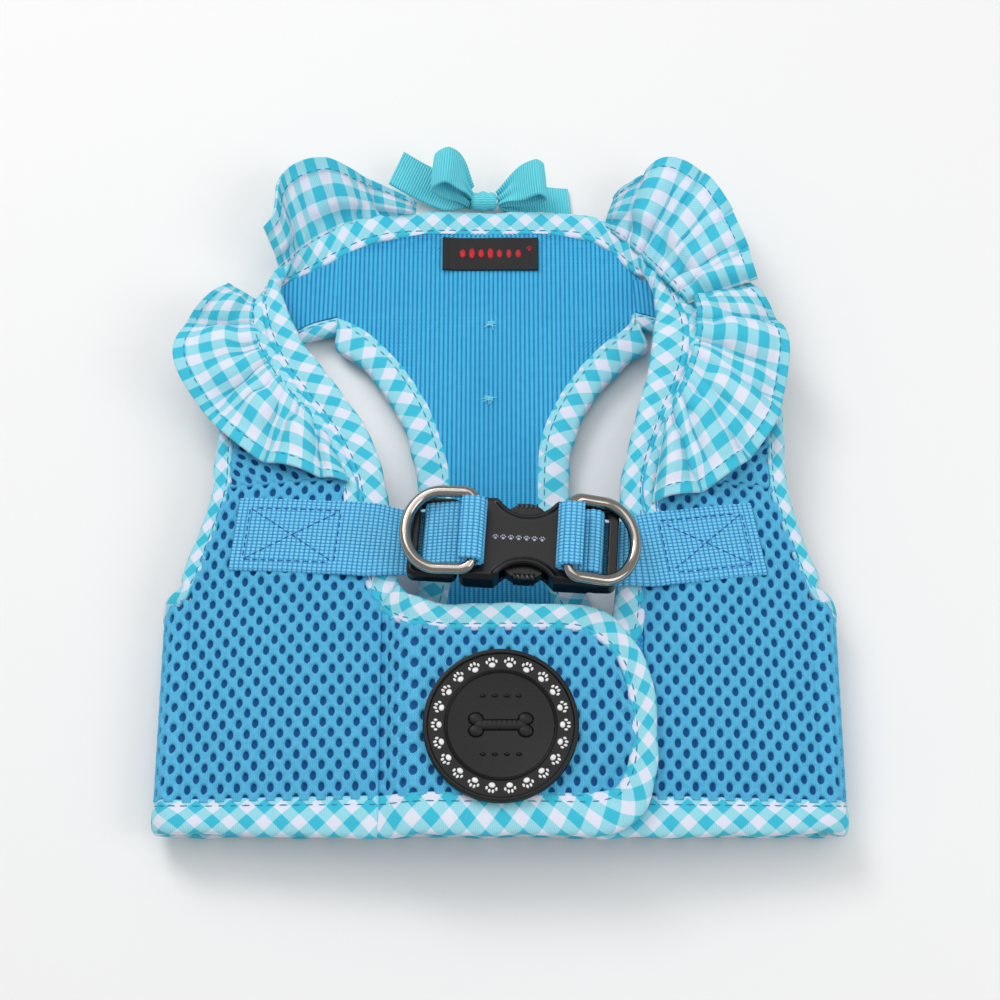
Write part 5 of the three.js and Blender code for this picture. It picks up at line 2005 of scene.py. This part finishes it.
def paw(x: float, y: float, z: float, size: float, turn: float) -> list[tuple]:
    """A paw print's pad and four toes, as marks."""
    marks = [(0.0, -0.35, 0.62, 0.5)]
    marks += [(-0.85, 0.25, 0.24, 0.36), (-0.32, 0.72, 0.25, 0.38)]
    marks += [(0.32, 0.72, 0.25, 0.38), (0.85, 0.25, 0.24, 0.36)]
    out = []
    for mx, my, wide, tall in marks:
        px = (mx * math.cos(turn) - my * math.sin(turn)) * size
        py = (mx * math.sin(turn) + my * math.cos(turn)) * size
        out.append((x + px, y + py, z, wide * size, tall * size, turn))
    return out


# trims


@dataclass
class Trims:
    """Rubber patch, woven label, buttons and thread tacks."""

    shop: Shop
    patch_at: tuple[float, float] = (0.2, -66.3)
    patch_radius: float = 19.5
    label_at: tuple[float, float] = (-2.7, 79.0)
    label_size: tuple[float, float] = (26.9, 10.2)
    lining_face: float = 1.65
    label_gap: float = 0.35

    def patch(self) -> None:
        """The round rubber patch on the flap, with its ring of paw prints."""
        r = self.patch_radius
        profile = [
            (0.0, 0.0),
            (r - 0.3, 0.0),
            (r, 0.35),
            (r, 2.0),
            (r - 0.2, 2.45),
            (r - 0.6, 2.6),
            (r - 1.0, 2.55),
            (r - 1.25, 2.2),
            (r - 1.35, 1.95),
            (r - 5.3, 1.9),
            (r - 5.45, 2.15),
            (r - 5.75, 2.3),
            (r - 6.05, 2.15),
            (r - 6.2, 1.9),
            (r - 6.6, 1.8),
            (0.0, 1.85),
        ]
        mesh = bpy.data.meshes.new("rubber_patch_body")
        edges = [(i, i + 1) for i in range(len(profile) - 1)]
        mesh.from_pydata([(x * MM, 0, z * MM) for x, z in profile], edges, [])
        obj = bpy.data.objects.new("rubber_patch_body", mesh)
        bpy.context.scene.collection.objects.link(obj)
        select([obj])
        bpy.ops.object.mode_set(mode="EDIT")
        bpy.ops.mesh.select_all(action="SELECT")
        full = 2 * math.pi
        bpy.ops.mesh.spin(steps=144, angle=full, center=(0, 0, 0), axis=(0, 0, 1))
        bpy.ops.mesh.remove_doubles(threshold=0.00001)
        bpy.ops.mesh.normals_make_consistent(inside=False)
        bpy.ops.object.mode_set(mode="OBJECT")
        slope = math.atan(5 / 55)
        height = float(DRAPE.flap(*self.patch_at)) + 1.75
        frame_of = Matrix.Translation((*self.patch_at, height)) @ Matrix.Rotation(slope, 4, "X")
        origin = Vector(self.shop.place(np.array(frame_of.translation)))
        placed = Matrix.Translation(origin) @ Matrix.Rotation(slope, 4, "X")
        obj.data.transform(placed)
        bpy.ops.object.shade_smooth_by_angle(angle=math.radians(35))
        self.shop.paint_with(obj, RUBBER)
        self.shop.pieces.append(obj)
        marks = []
        for k in range(22):
            angle = 2 * math.pi * k / 22
            place = (15.9 * math.cos(angle), 15.9 * math.sin(angle))
            marks += paw(*place, 1.98, 1.42, angle - math.pi / 2)
        prints = dabs(self.shop, "patch paw prints", marks, PRINT, frame_of, 0.22)
        bone = [(x, y, 1.9, 2.1, 1.8, 0.0) for x in (-6.2, 6.2) for y in (-1.5, 1.5)]
        bone += [(x, 0.0, 1.9, 1.9, 1.55, 0.0) for x in np.linspace(-5, 5, 9)]
        bars = (-4.5, -1.5, 1.5, 4.5)
        bone += [(x, side * 7.4, 1.9, 0.8, 0.45, 0.0) for x in bars for side in (-1, 1)]
        emboss = dabs(self.shop, "patch bone", bone, RUBBER, frame_of, 0.45)
        for piece in (obj, prints, emboss):
            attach(piece, "flap")
        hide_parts("rubber_patch")

    def label(self) -> None:
        """The woven label inside the neck, with a red mark."""
        wide, tall = self.label_size
        x = np.linspace(-wide / 2, wide / 2, 90)
        y = np.linspace(-tall / 2, tall / 2, 36)
        xx, yy = np.meshgrid(x, y, indexing="ij")
        lift = 0.3 * np.abs(xx / (wide / 2)) ** 6 + 0.12 * np.sin(xx / 3.1)
        px, py = xx + self.label_at[0], yy + self.label_at[1]
        base = DRAPE.chest(py) + self.lining_face + self.label_gap
        grid = np.stack([px, py, base + lift], -1)
        uv = np.stack([xx, yy], -1)
        fold = 0.12 * (np.abs(xx) > wide / 2 - 1.6)
        obj = self.shop.cloth("neck label", grid, uv, LABEL, 0.3 + fold, 0.3)
        seat = float(DRAPE.chest(self.label_at[1])) + self.lining_face + self.label_gap
        at = (*self.label_at, seat + 0.34)
        matrix = Matrix.Translation(at)
        marks = []
        for k in range(-3, 4):
            marks.append((k * 2.6, 0.0, 0.0, 0.9, 1.5 if k % 2 else 1.9, 0.0))
        marks += paw(11.0, 1.6, 0.0, 0.8, 0.0)
        red = dabs(self.shop, "label mark", marks, RED, matrix, 0.12)
        for piece in (obj, red):
            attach(piece, "vest")
        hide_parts("woven_label")

    def buttons(self) -> None:
        """The two buttons under the chest and the thread tacks above them."""
        rng = np.random.default_rng(4)
        for name, y in (("upper", 56.9), ("lower", 33.7)):
            centre = self.shop.place(np.array([-2.5, y, 1.0]))
            bpy.ops.mesh.primitive_cylinder_add(
                vertices=64, radius=4 * MM, depth=2 * MM, location=(0, 0, 0)
            )
            obj = bpy.context.view_layer.objects.active
            obj.name = f"button_{name}_disc"
            bevel = obj.modifiers.new("edge", "BEVEL")
            bevel.width, bevel.segments = 0.6 * MM, 4
            bevel.limit_method = "ANGLE"
            apply_all(obj)
            obj.data.transform(Matrix.Translation(centre))
            bpy.ops.object.shade_smooth_by_angle(angle=math.radians(30))
            for layer in list(obj.data.uv_layers):
                obj.data.uv_layers.remove(layer)
            self.shop.paint_with(obj, BUTTON)
            self.shop.pieces.append(obj)
            top = float(DRAPE.chest(y)) + self.lining_face
            runs = []
            for k in range(9):
                angle = rng.uniform(-0.5, 0.5) + (0 if k < 6 else math.pi / 2)
                middle = np.array([-2.5, y, top + 0.25]) + rng.uniform(-0.7, 0.7, 3) * (1, 1, 0.15)
                way = np.array([math.cos(angle), math.sin(angle), 0]) * rng.uniform(1.0, 2.1)
                t = np.linspace(-1, 1, 12)[:, None]
                runs.append((middle + way * t, np.tile([0.0, 0.0, 1.0], (12, 1))))
            tack = self.shop.stitches(f"tack {name}", runs, TACK, 2.4, 2.6, 0.17)
            for piece in (obj, tack):
                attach(piece, "vest")
            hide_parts(f"button_{name}")

    def build(self) -> None:
        """Builds the trims."""
        self.patch()
        self.label()
        self.buttons()


# scene


@dataclass(frozen=True)
class View:
    """Where the camera stands."""

    elevation: float = 66.5
    distance: float = 0.626
    target: tuple[float, float, float] = (0.0, -0.0083, 0.0143)
    lens: float = 85
    sensor: float = 36

    def build(self) -> None:
        """Makes the camera and gives it to the scene."""
        data = bpy.data.cameras.new("camera")
        data.lens, data.sensor_width = self.lens, self.sensor
        data.clip_start = 0.01
        camera = bpy.data.objects.new("camera", data)
        bpy.context.scene.collection.objects.link(camera)
        up = math.radians(self.elevation)
        away = Vector((0, -math.cos(up), math.sin(up))) * self.distance
        camera.location = Vector(self.target) + away
        camera.rotation_euler = (math.radians(90 - self.elevation), 0, 0)
        bpy.context.scene.camera = camera


@dataclass(frozen=True)
class Studio:
    """Pale floor, bright surroundings and soft lights."""

    def light(self, name: str, place: Vector, size: float, power: float) -> None:
        """A square soft light that looks at the vest."""
        data = bpy.data.lights.new(name, "AREA")
        data.size, data.energy = size, power
        obj = bpy.data.objects.new(name, data)
        bpy.context.scene.collection.objects.link(obj)
        obj.location = place
        obj.rotation_euler = (-place).to_track_quat("-Z", "Y").to_euler()

    def build(self) -> None:
        """Builds the studio."""
        bpy.ops.mesh.primitive_plane_add(size=6, location=(0, 0, 0))
        floor = bpy.context.view_layer.objects.active
        floor.name = "floor"
        recipe = Recipe("floor")
        material = recipe.shade(0, Base_Color=(0.85, 0.85, 0.85, 1), Roughness=0.9)
        floor.data.materials.append(material)
        world = bpy.data.worlds.new("surroundings")
        world.use_nodes = True
        back = world.node_tree.nodes["Background"]
        back.inputs["Color"].default_value = (1, 1, 1, 1)
        back.inputs["Strength"].default_value = 0.45
        bpy.context.scene.world = world
        self.light("key", Vector((-0.5, 0.6, 0.9)), 0.5, 5.4)
        self.light("fill", Vector((0.75, -0.3, 0.8)), 0.6, 2.8)
        self.light("top", Vector((0.0, 0.1, 1.3)), 1.0, 4.4)
        bpy.context.scene.view_settings.view_transform = "Standard"


def main() -> None:
    """Builds the vest over its frame."""
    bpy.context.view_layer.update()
    View().build()
    Studio().build()
    shop = Shop()
    panels, bindings = Panels(shop), Bindings(shop)
    panels.build()
    bindings.build()
    panels.declare(bindings.bands)
    for ruffle in ruffles(shop):
        ruffle.build()
    Bow(shop).build()
    Hardware(shop).build()
    Trims(shop).build()


if __name__ == "__main__":
    main()
